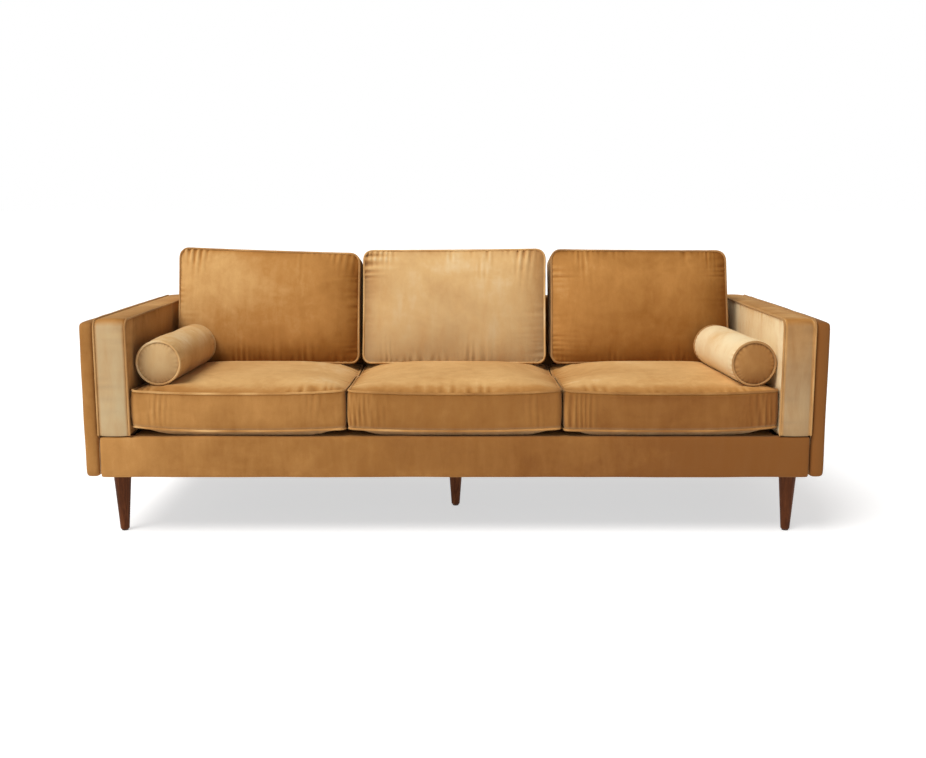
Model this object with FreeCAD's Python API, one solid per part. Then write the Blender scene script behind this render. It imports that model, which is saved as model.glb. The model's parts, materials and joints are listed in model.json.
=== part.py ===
import FreeCAD, Part
import math
import os

# Three-seat sofa: padded arms between flat wing panels, loose seat and back cushions, two
# bolsters, and turned wooden legs. Millimetres. X runs along the sofa, Y from front to back,
# Z up from the floor. Left and right are as seen from the front, so left is -X. The origin is
# on the floor, under the middle of the overall box.

V = FreeCAD.Vector
UP = V(0, 0, 1)

# ---- overall sizes ----
WIDTH = 2200.0  # over both wing panels
DEPTH = 900.0  # arm fronts to the back panel
BASE_BOTTOM = 185.0
DECK_TOP = 310.0  # the surface the seat cushions lie on
ARM_TOP = 658.0
WING_TOP = 649.0
WING_THICKNESS = 43.0
ARM_THICKNESS = 95.0
PRESSED_GAP = 2.0  # between upholstered parts that are pulled up to each other
MOVING_GAP = 0.3  # under a loose cushion

FRONT = -DEPTH / 2
BACK = DEPTH / 2
WING_OUT = WIDTH / 2
WING_IN = WING_OUT - WING_THICKNESS
ARM_OUT = WING_IN - PRESSED_GAP
ARM_IN = ARM_OUT - ARM_THICKNESS
BACK_PANEL_FRONT = BACK - WING_THICKNESS
INNER_BACK_END = BACK_PANEL_FRONT - PRESSED_GAP  # rear limit of arms, rails and back frame
SEATING_HALF = ARM_IN - PRESSED_GAP  # half the width between the arms

# ---- base frame ----
RAIL = 25.0  # thickness of the front, back and centre rails
SIDE_RAIL = 23.0
RAIL_BOTTOM = BASE_BOTTOM + 5.0
RAIL_TOP = 284.0
RAIL_FRONT = FRONT + 13.0
BASE_HALF = ARM_OUT - PRESSED_GAP
BLOCK_HEIGHT = 42.0
BLOCK_TOP = RAIL_BOTTOM + BLOCK_HEIGHT
CORNER_BLOCK_LEG = 120.0
CENTRE_BLOCK_HALF = 45.0
BAND_BACK = RAIL_FRONT + RAIL  # rear edge of the flanges of the front band
BAND_ROUND = 9.0
DECK_PAD = 17.0
DUST_COVER = 1.1

# ---- legs ----
LEG_TOP_R = 27.0
LEG_BOTTOM_R = 13.5
LEG_EDGE = 3.0
GLIDE_R = 10.0
GLIDE_THICKNESS = 3.0
LEG_X = 1014.5
LEG_Y = 364.0
CENTRE_LEG_Y = -84.0
BOLT_R = 4.0
BOLT_HOLE_R = 4.4
BOLT_DEPTH = 40.0
BOLT_RISE = 46.0
TEE_BARREL_R = 5.4
TEE_FLANGE_R = 9.0
TEE_FLANGE = 1.5
TEE_BARREL = 10.0
BLOCK_HOLE_R = 5.8

# ---- seat springs ----
SPRINGS = 12
SPRING_PITCH = 155.0
WIRE_R = 1.9
SPRING_BEND = 16.25
SPRING_STRAIGHT = 20.0
SPRING_Z = DECK_TOP - DECK_PAD - WIRE_R
SPRING_END_GAP = 6.0  # wire axis to the rail it is clipped to
CLIP_HALF = 9.0
CLIP_REACH = 11.0
CLIP_DROP = 7.0

# ---- arms and wings ----
ARM_ROUND = 28.0  # top front corner of an arm, seen from the side
ARM_PAD = 25.0
ARM_FRONT_PAD = 20.0
ARM_SKIN = 9.0  # on the side against the wing
ARM_POST = 44.0
ARM_RAIL_HEIGHT = 41.0
FIT = 0.5  # frame or filling to the upholstery around it
WING_ROUND = 12.0
WING_FRONT = FRONT + 5.0
BOARD = 14.0
BOARD_INSET = 12.0

# ---- sofa back ----
BACK_FOOT = 197.0  # Y of the inside back where it meets the deck
BACK_HEAD = 269.0  # Y of the inside back at its top
BACK_PAD = 35.0
BACK_CAP = 18.0
BACK_ROUND = 15.0
UPRIGHT = 22.0
UPRIGHT_X = 310.0
WEBBING_WIDTH = 60.0
WEBBING_THICKNESS = 2.0
WEBBING_STRAPS = 9
WEBBING_PITCH = 205.0

# ---- cushions ----
PIPING_R = 4.5
PIPING_FIT = 0.4
SEAM_CHAMFER = 9.0
LEAST_CORNER = 2.0
COVER_WALL = 12.0  # cover with its wadding
ZIP_LENGTH = 440.0
ZIP_GAP = 4.0

SEAT_PITCH = 640.0
SEAT_WIDTH = 637.0
SEAT_FRONT = FRONT + 4.0
SEAT_DEPTH = 634.0
SEAT_TOP = 452.0
SEAT_CORNER = 30.0
SEAT_BOTTOM = DECK_TOP + MOVING_GAP
SEAT_THICKNESS = SEAT_TOP - SEAT_BOTTOM

BACK_CUSHION_WIDTH = 610.0
BACK_CUSHION_HEIGHT = 391.0
BACK_CUSHION_THICKNESS = 168.0
BACK_CUSHION_CORNER = 40.0
BACK_CUSHION_FRONT = 50.0  # Y of its front bottom edge
BACK_CUSHION_BOTTOM = SEAT_TOP + MOVING_GAP
BACK_CUSHION_X = {"left": -637.5, "middle": -13.5, "right": 624.5}

BOLSTER_R = 69.0
BOLSTER_LENGTH = 435.0
BOLSTER_WALL = 8.0
BOLSTER_AXIS_Z = SEAT_TOP + MOVING_GAP + BOLSTER_R
BOLSTERS = {  # X and Y of the front end, turn in degrees
    "left": (-885.0, -390.0, -1.4),
    "right": (890.0, -405.0, 3.5),
}

# ---- panel bolts ----
PANEL_BOLT_R = 3.0
PANEL_BOLT_HEAD_R = 6.0
PANEL_BOLT_HEAD = 4.0
PANEL_BOLT_SHANK = 56.0
PANEL_BOLT_BITE = 11.0  # into the board
BOLT_CLEARANCE = 0.4
ARM_BOLT_Y = (FRONT + 42.0, 362.0)
ARM_BOLT_Z = (380.0, 560.0)
BACK_BOLT_X = (-800.0, -270.0, 270.0, 800.0)
BACK_BOLT_Z = 620.0

SAME = 1e-4


# ---- small helpers ----
def block(x0, x1, y0, y1, z0, z1):
    return Part.makeBox(x1 - x0, y1 - y0, z1 - z0, V(x0, y0, z0))


def post(x, y, z0, z1, radius):
    return Part.makeCylinder(radius, z1 - z0, V(x, y, z0), UP)


def mirrored(shape):
    """The same piece on the other side of the sofa."""
    return shape.mirror(V(0, 0, 0), V(1, 0, 0))


def swept_along_x(outline, x0, x1):
    """A bar from x0 to x1 with the given outline of (y, z) points."""
    corners = [V(x0, y, z) for y, z in outline]
    face = Part.Face(Part.makePolygon(corners + corners[:1]))
    return face.extrude(V(x1 - x0, 0, 0))


def edges_at(shape, x=None, y=None, z=None):
    """Edges that lie wholly at the given coordinates."""
    found = []
    for edge in shape.Edges:
        box = edge.BoundBox
        spans = ((x, box.XMin, box.XMax), (y, box.YMin, box.YMax), (z, box.ZMin, box.ZMax))
        if all(at is None or max(abs(low - at), abs(high - at)) < SAME for at, low, high in spans):
            found.append(edge)
    return found


def smooth_wire(points, bend, closed=False):
    """Straight runs joined by tangent arcs of one radius."""
    count = len(points)
    corners = range(count) if closed else range(1, count - 1)
    arcs = {}
    for i in corners:
        before = (points[i - 1] - points[i]).normalize()
        after = (points[(i + 1) % count] - points[i]).normalize()
        half = before.getAngle(after) / 2
        middle = (before + after).normalize()
        start = points[i] + before * (bend / math.tan(half))
        end = points[i] + after * (bend / math.tan(half))
        crown = points[i] + middle * (bend / math.sin(half) - bend)
        arcs[i] = (start, crown, end)
    edges = []
    at = arcs[0][2] if closed else points[0]
    for i in list(corners)[1:] + [0] if closed else corners:
        start, crown, end = arcs[i]
        if at.distanceToPoint(start) > SAME:
            edges.append(Part.makeLine(at, start))
        edges.append(Part.Arc(start, crown, end).toShape())
        at = end
    if not closed:
        edges.append(Part.makeLine(at, points[-1]))
    return Part.Wire(edges)


def round_bar(wire, radius):
    """A solid bar of round section along the wire."""
    first = wire.OrderedEdges[0]
    start = first.valueAt(first.FirstParameter)
    along = first.tangentAt(first.FirstParameter)
    section = Part.Wire([Part.makeCircle(radius, start, along)])
    bar = wire.makePipeShell([section], True, False)
    return bar if bar.Volume > 0 else bar.reversed()


def save(name, shape):
    shape.exportStep(f"parts/{name}.step")
    state = "ok" if shape.isValid() else "INVALID"
    print(f"{name:32s} {len(shape.Solids):3d} solids {shape.Volume / 1e6:9.3f} litres {state}")


# ---- base frame ----
def leg_places():
    corners = [(sx * LEG_X, sy * LEG_Y) for sy in (-1, 1) for sx in (-1, 1)]
    return corners + [(0.0, CENTRE_LEG_Y)]


def make_rails():
    inner_front = RAIL_FRONT + RAIL
    inner_back = INNER_BACK_END - RAIL
    save("front_rail", block(-BASE_HALF, BASE_HALF, RAIL_FRONT, inner_front, RAIL_BOTTOM, RAIL_TOP))
    save("back_rail", block(-BASE_HALF, BASE_HALF, inner_back, INNER_BACK_END, RAIL_BOTTOM, RAIL_TOP))
    side = block(BASE_HALF - SIDE_RAIL, BASE_HALF, inner_front, inner_back, RAIL_BOTTOM, RAIL_TOP)
    save("side_rail_right", side)
    save("side_rail_left", mirrored(side))
    centre = block(-RAIL / 2, RAIL / 2, inner_front, inner_back, BLOCK_TOP, RAIL_TOP)
    nut_pocket = post(0, CENTRE_LEG_Y, BLOCK_TOP, BLOCK_TOP + TEE_BARREL, TEE_FLANGE_R + 1)
    save("centre_rail", centre.cut(nut_pocket))


def make_leg_blocks():
    """Triangular blocks glued in the corners of the frame, and a square one under the middle."""
    corner_x = BASE_HALF - SIDE_RAIL
    blocks = []
    for side_x in (-1, 1):
        for side_y, corner_y in ((-1, RAIL_FRONT + RAIL), (1, INNER_BACK_END - RAIL)):
            a = V(side_x * corner_x, corner_y, RAIL_BOTTOM)
            b = V(side_x * (corner_x - CORNER_BLOCK_LEG), corner_y, RAIL_BOTTOM)
            c = V(side_x * corner_x, corner_y - side_y * CORNER_BLOCK_LEG, RAIL_BOTTOM)
            gusset = Part.Face(Part.makePolygon([a, b, c, a])).extrude(UP * BLOCK_HEIGHT)
            hole = post(side_x * LEG_X, side_y * LEG_Y, RAIL_BOTTOM, BLOCK_TOP, BLOCK_HOLE_R)
            blocks.append(gusset.cut(hole))
    save("corner_blocks", Part.makeCompound(blocks))
    half = CENTRE_BLOCK_HALF
    middle = block(-half, half, CENTRE_LEG_Y - half, CENTRE_LEG_Y + half, RAIL_BOTTOM, BLOCK_TOP)
    save("centre_leg_block", middle.cut(post(0, CENTRE_LEG_Y, RAIL_BOTTOM, BLOCK_TOP, BLOCK_HOLE_R)))


def make_legs():
    """Tapered legs turned from solid wood, each screwed up on a hanger bolt."""
    low, high = GLIDE_THICKNESS, RAIL_BOTTOM
    outline = [
        V(0, 0, low),
        V(LEG_BOTTOM_R - LEG_EDGE, 0, low),
        V(LEG_BOTTOM_R, 0, low + LEG_EDGE),
        V(LEG_TOP_R, 0, high - LEG_EDGE / 2),
        V(LEG_TOP_R - LEG_EDGE / 2, 0, high),
        V(0, 0, high),
    ]
    turned = Part.Face(Part.makePolygon(outline + outline[:1])).revolve(V(0, 0, 0), UP, 360)
    turned = turned.cut(post(0, 0, high - BOLT_DEPTH, high, BOLT_HOLE_R))
    names = ("front_left", "front_right", "rear_left", "rear_right", "centre")
    for name, (x, y) in zip(names, leg_places()):
        save(f"leg_{name}", turned.translated(V(x, y, 0)))


def make_leg_hardware():
    bolt = post(0, 0, RAIL_BOTTOM - BOLT_DEPTH + 1, RAIL_BOTTOM + BOLT_RISE, BOLT_R)
    barrel = post(0, 0, BLOCK_TOP - TEE_BARREL, BLOCK_TOP, TEE_BARREL_R)
    flange = post(0, 0, BLOCK_TOP, BLOCK_TOP + TEE_FLANGE, TEE_FLANGE_R)
    bore = post(0, 0, BLOCK_TOP - TEE_BARREL, BLOCK_TOP + TEE_FLANGE, BOLT_HOLE_R)
    nut = barrel.fuse(flange).cut(bore)
    glide = post(0, 0, 0, GLIDE_THICKNESS, GLIDE_R)
    for name, piece in (("leg_bolts", bolt), ("tee_nuts", nut), ("foot_glides", glide)):
        save(name, Part.makeCompound([piece.translated(V(x, y, 0)) for x, y in leg_places()]))


# ---- seat suspension ----
def sinuous_wire():
    """One zigzag of wire from rail to rail, centred on X = 0."""
    start = RAIL_FRONT + RAIL + SPRING_END_GAP
    end = INNER_BACK_END - RAIL - SPRING_END_GAP
    rows = round((end - start) / (2 * SPRING_BEND))
    step = (end - start) / rows
    reach = SPRING_STRAIGHT / 2 + SPRING_BEND
    points = [V(-SPRING_STRAIGHT / 2, start, SPRING_Z)]
    side = 1
    for row in range(rows):
        points.append(V(side * reach, start + row * step, SPRING_Z))
        points.append(V(side * reach, start + (row + 1) * step, SPRING_Z))
        side = -side
    points.append(V(side * SPRING_STRAIGHT / 2, end, SPRING_Z))
    return smooth_wire(points, step / 2)


def make_springs():
    spring = round_bar(sinuous_wire(), WIRE_R)
    front_face = RAIL_FRONT + RAIL
    back_face = INNER_BACK_END - RAIL
    low, high = SPRING_Z - CLIP_DROP, DECK_TOP - DECK_PAD
    front_clip = block(-CLIP_HALF, CLIP_HALF, front_face, front_face + CLIP_REACH, low, high)
    back_clip = block(-CLIP_HALF, CLIP_HALF, back_face - CLIP_REACH, back_face, low, high)
    clips = []
    for clip, wire_y in ((front_clip, front_face + SPRING_END_GAP), (back_clip, back_face - SPRING_END_GAP)):
        channel = block(-CLIP_HALF, CLIP_HALF, wire_y - WIRE_R - FIT, wire_y + WIRE_R + FIT,
                        SPRING_Z - WIRE_R - FIT, high)
        clips.append(clip.cut(channel))
    places = [V((i - (SPRINGS - 1) / 2) * SPRING_PITCH, 0, 0) for i in range(SPRINGS)]
    save("seat_springs", Part.makeCompound([spring.translated(p) for p in places]))
    save("spring_clips", Part.makeCompound([c.translated(p) for p in places for c in clips]))


def make_deck():
    deck_front, deck_back = BAND_BACK + 1, INNER_BACK_END - RAIL - PRESSED_GAP
    pad = block(-SEATING_HALF, SEATING_HALF, deck_front, deck_back, DECK_TOP - DECK_PAD, DECK_TOP)
    save("deck_pad", pad)
    sheet = block(-BASE_HALF, BASE_HALF, BAND_BACK + 1, INNER_BACK_END,
                  RAIL_BOTTOM - DUST_COVER, RAIL_BOTTOM)
    for x, y in leg_places():
        sheet = sheet.cut(post(x, y, BASE_BOTTOM, RAIL_BOTTOM, LEG_TOP_R + 1))
    save("dust_cover", sheet)


def make_front_band():
    """Padded band that wraps the front rail from deck to underside."""
    outer = block(-BASE_HALF, BASE_HALF, FRONT, BAND_BACK, BASE_BOTTOM, DECK_TOP)
    outer = outer.makeFillet(BAND_ROUND, edges_at(outer, y=FRONT, z=BASE_BOTTOM))
    outer = outer.makeFillet(BAND_ROUND, edges_at(outer, y=FRONT, z=DECK_TOP))
    inside = block(-BASE_HALF, BASE_HALF, RAIL_FRONT, BAND_BACK, RAIL_BOTTOM, RAIL_TOP)
    save("front_band", outer.cut(inside))


# ---- panel bolts ----
def bolt_along(direction, tip):
    """A headed bolt, the drilling it needs, and the counterbore for its head."""
    head_seat = tip - direction * PANEL_BOLT_SHANK
    head_start = head_seat - direction * PANEL_BOLT_HEAD
    shank = Part.makeCylinder(PANEL_BOLT_R, PANEL_BOLT_SHANK, head_seat, direction)
    head = Part.makeCylinder(PANEL_BOLT_HEAD_R, PANEL_BOLT_HEAD, head_start, direction)
    drilling = Part.makeCylinder(PANEL_BOLT_R + BOLT_CLEARANCE, PANEL_BOLT_SHANK + 1, head_seat, direction)
    counterbore_start = head_seat - direction * 2 * PANEL_BOLT_SHANK
    counterbore = Part.makeCylinder(PANEL_BOLT_HEAD_R + 1, 2 * PANEL_BOLT_SHANK, counterbore_start, direction)
    return shank.fuse(head), drilling, counterbore


def arm_bolts():
    """Bolts of the right-hand side, from the arm posts out into the wing board."""
    outward = V(1, 0, 0)
    tips = [V(WING_IN + PANEL_BOLT_BITE, y, z) for y in ARM_BOLT_Y for z in ARM_BOLT_Z]
    return [bolt_along(outward, tip) for tip in tips]


def back_bolts():
    backward = V(0, 1, 0)
    tips = [V(x, BACK_PANEL_FRONT + PANEL_BOLT_BITE, BACK_BOLT_Z) for x in BACK_BOLT_X]
    return [bolt_along(backward, tip) for tip in tips]


def drilled(shape, bolts, counterbored=False):
    for _, drilling, counterbore in bolts:
        shape = shape.cut(drilling)
        if counterbored:
            shape = shape.cut(counterbore)
    return shape


def make_panel_bolts():
    side = [bolt for bolt, _, _ in arm_bolts()]
    rear = [bolt for bolt, _, _ in back_bolts()]
    save("panel_bolts", Part.makeCompound(side + [mirrored(b) for b in side] + rear))


# ---- arms ----
def make_arm_frames():
    """Glued timber ring inside each arm, on top of the base rails."""
    x0, x1 = ARM_IN + ARM_PAD, ARM_OUT - ARM_SKIN
    front, rear = FRONT + ARM_FRONT_PAD, INNER_BACK_END - ARM_FRONT_PAD
    top = ARM_TOP - ARM_PAD
    sill = block(x0, x1, BAND_BACK + 1, rear, RAIL_TOP, DECK_TOP)
    front_post = block(x0, x1, front, front + ARM_POST, DECK_TOP, top)
    rear_post = block(x0, x1, rear - ARM_POST, rear, DECK_TOP, top)
    top_rail = block(x0, x1, front, rear, top - ARM_RAIL_HEIGHT, top)
    ring = sill.multiFuse([front_post, rear_post, top_rail]).removeSplitter()
    ring = drilled(ring, arm_bolts(), counterbored=True)
    save("arm_frame_right", ring)
    save("arm_frame_left", mirrored(ring))


def arm_seam(x):
    """Seam line along the front and top edge of an arm, just inside its surface."""
    inset = PIPING_R
    points = [
        V(x, FRONT + inset, DECK_TOP),
        V(x, FRONT + inset, ARM_TOP - inset),
        V(x, INNER_BACK_END, ARM_TOP - inset),
    ]
    return smooth_wire(points, ARM_ROUND - inset)


def make_arm_covers():
    """Padded covers with piping along both edges of the front and top band."""
    outer = block(ARM_IN, ARM_OUT, FRONT, INNER_BACK_END, DECK_TOP, ARM_TOP)
    outer = outer.makeFillet(ARM_ROUND, edges_at(outer, y=FRONT, z=ARM_TOP))
    for x in (ARM_IN, ARM_OUT):
        seams = [e for e in edges_at(outer, x=x)
                 if e.BoundBox.YMin < INNER_BACK_END - 1 and e.BoundBox.ZMax > DECK_TOP + 1]
        outer = outer.makeChamfer(SEAM_CHAMFER, seams)
    cavity = block(ARM_IN + ARM_PAD - FIT, ARM_OUT - ARM_SKIN + FIT, FRONT + ARM_FRONT_PAD - FIT,
                   INNER_BACK_END, DECK_TOP, ARM_TOP - ARM_PAD + FIT)
    cover = drilled(outer.cut(cavity), arm_bolts())
    lines = [arm_seam(ARM_IN + PIPING_R), arm_seam(ARM_OUT - PIPING_R)]
    for line in lines:
        cover = cover.cut(round_bar(line, PIPING_R + PIPING_FIT))
    piping = Part.makeCompound([round_bar(line, PIPING_R) for line in lines])
    save("arm_cover_right", cover)
    save("arm_cover_left", mirrored(cover))
    save("arm_piping_right", piping)
    save("arm_piping_left", mirrored(piping))


# ---- wing and back panels ----
def padded_panel(x0, x1, y0, y1, z0, z1, board):
    """A slab with soft edges that wraps a board from its outer side."""
    slab = block(x0, x1, y0, y1, z0, z1)
    return slab.makeFillet(WING_ROUND, slab.Edges).cut(board)


def make_wings():
    board = block(WING_IN, WING_IN + BOARD, WING_FRONT + BOARD_INSET, BACK - BOARD_INSET,
                  BASE_BOTTOM + BOARD_INSET, WING_TOP - BOARD_INSET)
    cover = padded_panel(WING_IN, WING_OUT, WING_FRONT, BACK, BASE_BOTTOM, WING_TOP, board)
    board = drilled(board, arm_bolts())
    save("wing_cover_right", cover)
    save("wing_cover_left", mirrored(cover))
    save("wing_board_right", board)
    save("wing_board_left", mirrored(board))


def make_outside_back():
    half = ARM_OUT
    board = block(BOARD_INSET - half, half - BOARD_INSET, BACK_PANEL_FRONT, BACK_PANEL_FRONT + BOARD,
                  BASE_BOTTOM + BOARD_INSET, WING_TOP - BOARD_INSET)
    cover = padded_panel(-half, half, BACK_PANEL_FRONT, BACK, BASE_BOTTOM, WING_TOP, board)
    save("outside_back_cover", cover)
    save("outside_back_board", drilled(board, back_bolts()))


# ---- sofa back ----
def back_slope(z):
    """Y of the inside back's face at height z."""
    return BACK_FOOT + (BACK_HEAD - BACK_FOOT) * (z - DECK_TOP) / (ARM_TOP - DECK_TOP)


def make_inside_back():
    cap_bottom = ARM_TOP - BACK_CAP
    outline = [
        (back_slope(DECK_TOP), DECK_TOP),
        (back_slope(ARM_TOP), ARM_TOP),
        (INNER_BACK_END, ARM_TOP),
        (INNER_BACK_END, cap_bottom),
        (back_slope(cap_bottom) + BACK_PAD, cap_bottom),
        (back_slope(DECK_TOP) + BACK_PAD, DECK_TOP),
    ]
    cover = swept_along_x(outline, -SEATING_HALF, SEATING_HALF)
    cover = cover.makeFillet(BACK_ROUND, edges_at(cover, y=back_slope(ARM_TOP), z=ARM_TOP))
    save("inside_back_cover", cover)


def make_back_frame():
    """Plywood uprights with sloped front edges, tied by rails, with webbing across the slope."""
    setback = BACK_PAD + 2 * WEBBING_THICKNESS
    top = ARM_TOP - BACK_CAP
    rail_foot = top - ARM_RAIL_HEIGHT
    sill_top = DECK_TOP + ARM_RAIL_HEIGHT

    def front_edge(z):
        return back_slope(z) + setback

    upright_outline = [(front_edge(DECK_TOP), DECK_TOP), (front_edge(top), top),
                       (INNER_BACK_END, top), (INNER_BACK_END, DECK_TOP)]
    top_outline = [(front_edge(rail_foot), rail_foot), (front_edge(top), top),
                   (INNER_BACK_END, top), (INNER_BACK_END, rail_foot)]
    sill_outline = [(front_edge(DECK_TOP), DECK_TOP), (front_edge(sill_top), sill_top),
                    (front_edge(sill_top) + ARM_POST, sill_top), (front_edge(sill_top) + ARM_POST, DECK_TOP)]
    foot = block(-SEATING_HALF, SEATING_HALF, INNER_BACK_END - RAIL, INNER_BACK_END, RAIL_TOP, DECK_TOP)
    pieces = [swept_along_x(top_outline, -SEATING_HALF, SEATING_HALF),
              swept_along_x(sill_outline, -SEATING_HALF, SEATING_HALF)]
    for centre in (UPRIGHT / 2 - SEATING_HALF, -UPRIGHT_X, UPRIGHT_X, SEATING_HALF - UPRIGHT / 2):
        pieces.append(swept_along_x(upright_outline, centre - UPRIGHT / 2, centre + UPRIGHT / 2))
    frame = foot.multiFuse(pieces).removeSplitter()
    save("back_frame", drilled(frame, back_bolts(), counterbored=True))

    low, high = DECK_TOP + WEBBING_THICKNESS, top - WEBBING_THICKNESS
    near = BACK_PAD + WEBBING_THICKNESS / 2
    far = near + WEBBING_THICKNESS
    strap_outline = [(back_slope(low) + near, low), (back_slope(low) + far, low),
                     (back_slope(high) + far, high), (back_slope(high) + near, high)]
    strap = swept_along_x(strap_outline, -WEBBING_WIDTH / 2, WEBBING_WIDTH / 2)
    places = [V((i - (WEBBING_STRAPS - 1) / 2) * WEBBING_PITCH, 0, 0) for i in range(WEBBING_STRAPS)]
    save("back_webbing", Part.makeCompound([strap.translated(p) for p in places]))


# ---- cushions ----
# A boxed cushion is made lying down in its own frame: one panel faces up at Z = 0, the other
# lies at Z = -thick, X runs across its width and Y from its near edge to its far edge. Its
# near side rises by `slope` for each millimetre down, so that a leaning cushion stands flat.
def panel_outline(width, length, corner, slope, depth, inset):
    near = slope * depth + inset
    far = length - inset
    half = width / 2 - inset
    points = [V(-half, near, -depth), V(half, near, -depth), V(half, far, -depth), V(-half, far, -depth)]
    return smooth_wire(points, max(corner - inset, LEAST_CORNER), closed=True)


def lofted(outlines):
    return Part.makeLoft(outlines, True, True)


def boxed_cushion(width, length, thick, corner, slope=0.0, zip_far=True):
    """Cover, filling and two loops of piping, in the cushion's own frame."""
    def outline(depth, inset):
        return panel_outline(width, length, corner, slope, depth, inset)

    cover = lofted([outline(0, SEAM_CHAMFER), outline(SEAM_CHAMFER, 0),
                    outline(thick - SEAM_CHAMFER, 0), outline(thick, SEAM_CHAMFER)])
    cavity = lofted([outline(COVER_WALL, COVER_WALL), outline(thick - COVER_WALL, COVER_WALL)])
    wall = COVER_WALL + FIT
    filling = lofted([outline(wall, wall), outline(thick - wall, wall)])
    loops = [outline(PIPING_R, PIPING_R), outline(thick - PIPING_R, PIPING_R)]
    cover = cover.cut(cavity)
    for loop in loops:
        cover = cover.cut(round_bar(loop, PIPING_R + PIPING_FIT))
    wall_at = length if zip_far else slope * thick / 2
    reach = COVER_WALL + SEAM_CHAMFER
    opening = block(-ZIP_LENGTH / 2, ZIP_LENGTH / 2, wall_at - reach, wall_at + reach,
                    -(thick + ZIP_GAP) / 2, -(thick - ZIP_GAP) / 2)
    piping = Part.makeCompound([round_bar(loop, PIPING_R) for loop in loops])
    return {"cover": cover.cut(opening), "core": filling, "piping": piping}


def save_set(name, pieces, placement):
    for kind, piece in pieces.items():
        piece = piece.copy()
        piece.Placement = placement
        save(f"{name}_{kind}", piece)


def make_seat_cushions():
    pieces = boxed_cushion(SEAT_WIDTH, SEAT_DEPTH, SEAT_THICKNESS, SEAT_CORNER)
    for name, x in (("left", -SEAT_PITCH), ("middle", 0.0), ("right", SEAT_PITCH)):
        place = FreeCAD.Placement(V(x, SEAT_FRONT, SEAT_TOP), FreeCAD.Rotation())
        save_set(f"seat_cushion_{name}", pieces, place)


def make_back_cushions():
    """Cushions that stand on the seat and lean on the inside back."""
    lean = math.atan((BACK_HEAD - BACK_FOOT) / (ARM_TOP - DECK_TOP))
    pieces = boxed_cushion(BACK_CUSHION_WIDTH, BACK_CUSHION_HEIGHT, BACK_CUSHION_THICKNESS,
                           BACK_CUSHION_CORNER, slope=math.tan(lean), zip_far=False)
    tilt = FreeCAD.Rotation(V(1, 0, 0), 90 - math.degrees(lean))
    for name, x in BACK_CUSHION_X.items():
        place = FreeCAD.Placement(V(x, BACK_CUSHION_FRONT, BACK_CUSHION_BOTTOM), tilt)
        save_set(f"back_cushion_{name}", pieces, place)


def bolster_half(radius, inset, chamfer):
    """Half of a bolster's lengthwise section, beside its axis, with its edges cut back."""
    near, far = inset, BOLSTER_LENGTH - inset
    points = [
        V(0, near, 0),
        V(radius - chamfer, near, 0),
        V(radius, near + chamfer, 0),
        V(radius, far - chamfer, 0),
        V(radius - chamfer, far, 0),
        V(0, far, 0),
    ]
    return Part.Face(Part.makePolygon(points + points[:1]))


def bolster_pieces():
    """A bolster along +Y from the origin, with a ring of piping at each end."""
    def turned(face):
        return face.revolve(V(0, 0, 0), V(0, 1, 0), 360)

    def ring(radius, y):
        circle = Part.makeCircle(radius, V(BOLSTER_R - PIPING_R, y, 0), UP)
        return Part.Face(Part.Wire([circle]))

    ends = (PIPING_R, BOLSTER_LENGTH - PIPING_R)
    section = bolster_half(BOLSTER_R, 0, SEAM_CHAMFER)
    section = section.cut(bolster_half(BOLSTER_R - BOLSTER_WALL, BOLSTER_WALL, PIPING_R))
    for y in ends:
        section = section.cut(ring(PIPING_R + PIPING_FIT, y))
    middle = BOLSTER_LENGTH / 2
    opening = block(-ZIP_GAP / 2, ZIP_GAP / 2, middle - ZIP_LENGTH / 3, middle + ZIP_LENGTH / 3,
                    -BOLSTER_R - 1, BOLSTER_WALL - BOLSTER_R + 1)
    wall = BOLSTER_WALL + FIT
    return {
        "cover": turned(section).cut(opening),
        "core": turned(bolster_half(BOLSTER_R - wall, wall, PIPING_R)),
        "piping": Part.makeCompound([turned(ring(PIPING_R, y)) for y in ends]),
    }


def make_bolsters():
    pieces = bolster_pieces()
    for name, (x, y, turn) in BOLSTERS.items():
        place = FreeCAD.Placement(V(x, y, BOLSTER_AXIS_Z), FreeCAD.Rotation(UP, turn))
        save_set(f"bolster_{name}", pieces, place)


os.makedirs("parts", exist_ok=True)
make_rails()
make_leg_blocks()
make_legs()
make_leg_hardware()
make_springs()
make_deck()
make_front_band()
make_arm_frames()
make_arm_covers()
make_wings()
make_outside_back()
make_inside_back()
make_back_frame()
make_panel_bolts()
make_seat_cushions()
make_back_cushions()
make_bolsters()
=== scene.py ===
import json
import math

import bpy
import numpy as np
from mathutils import Matrix, Vector


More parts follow.
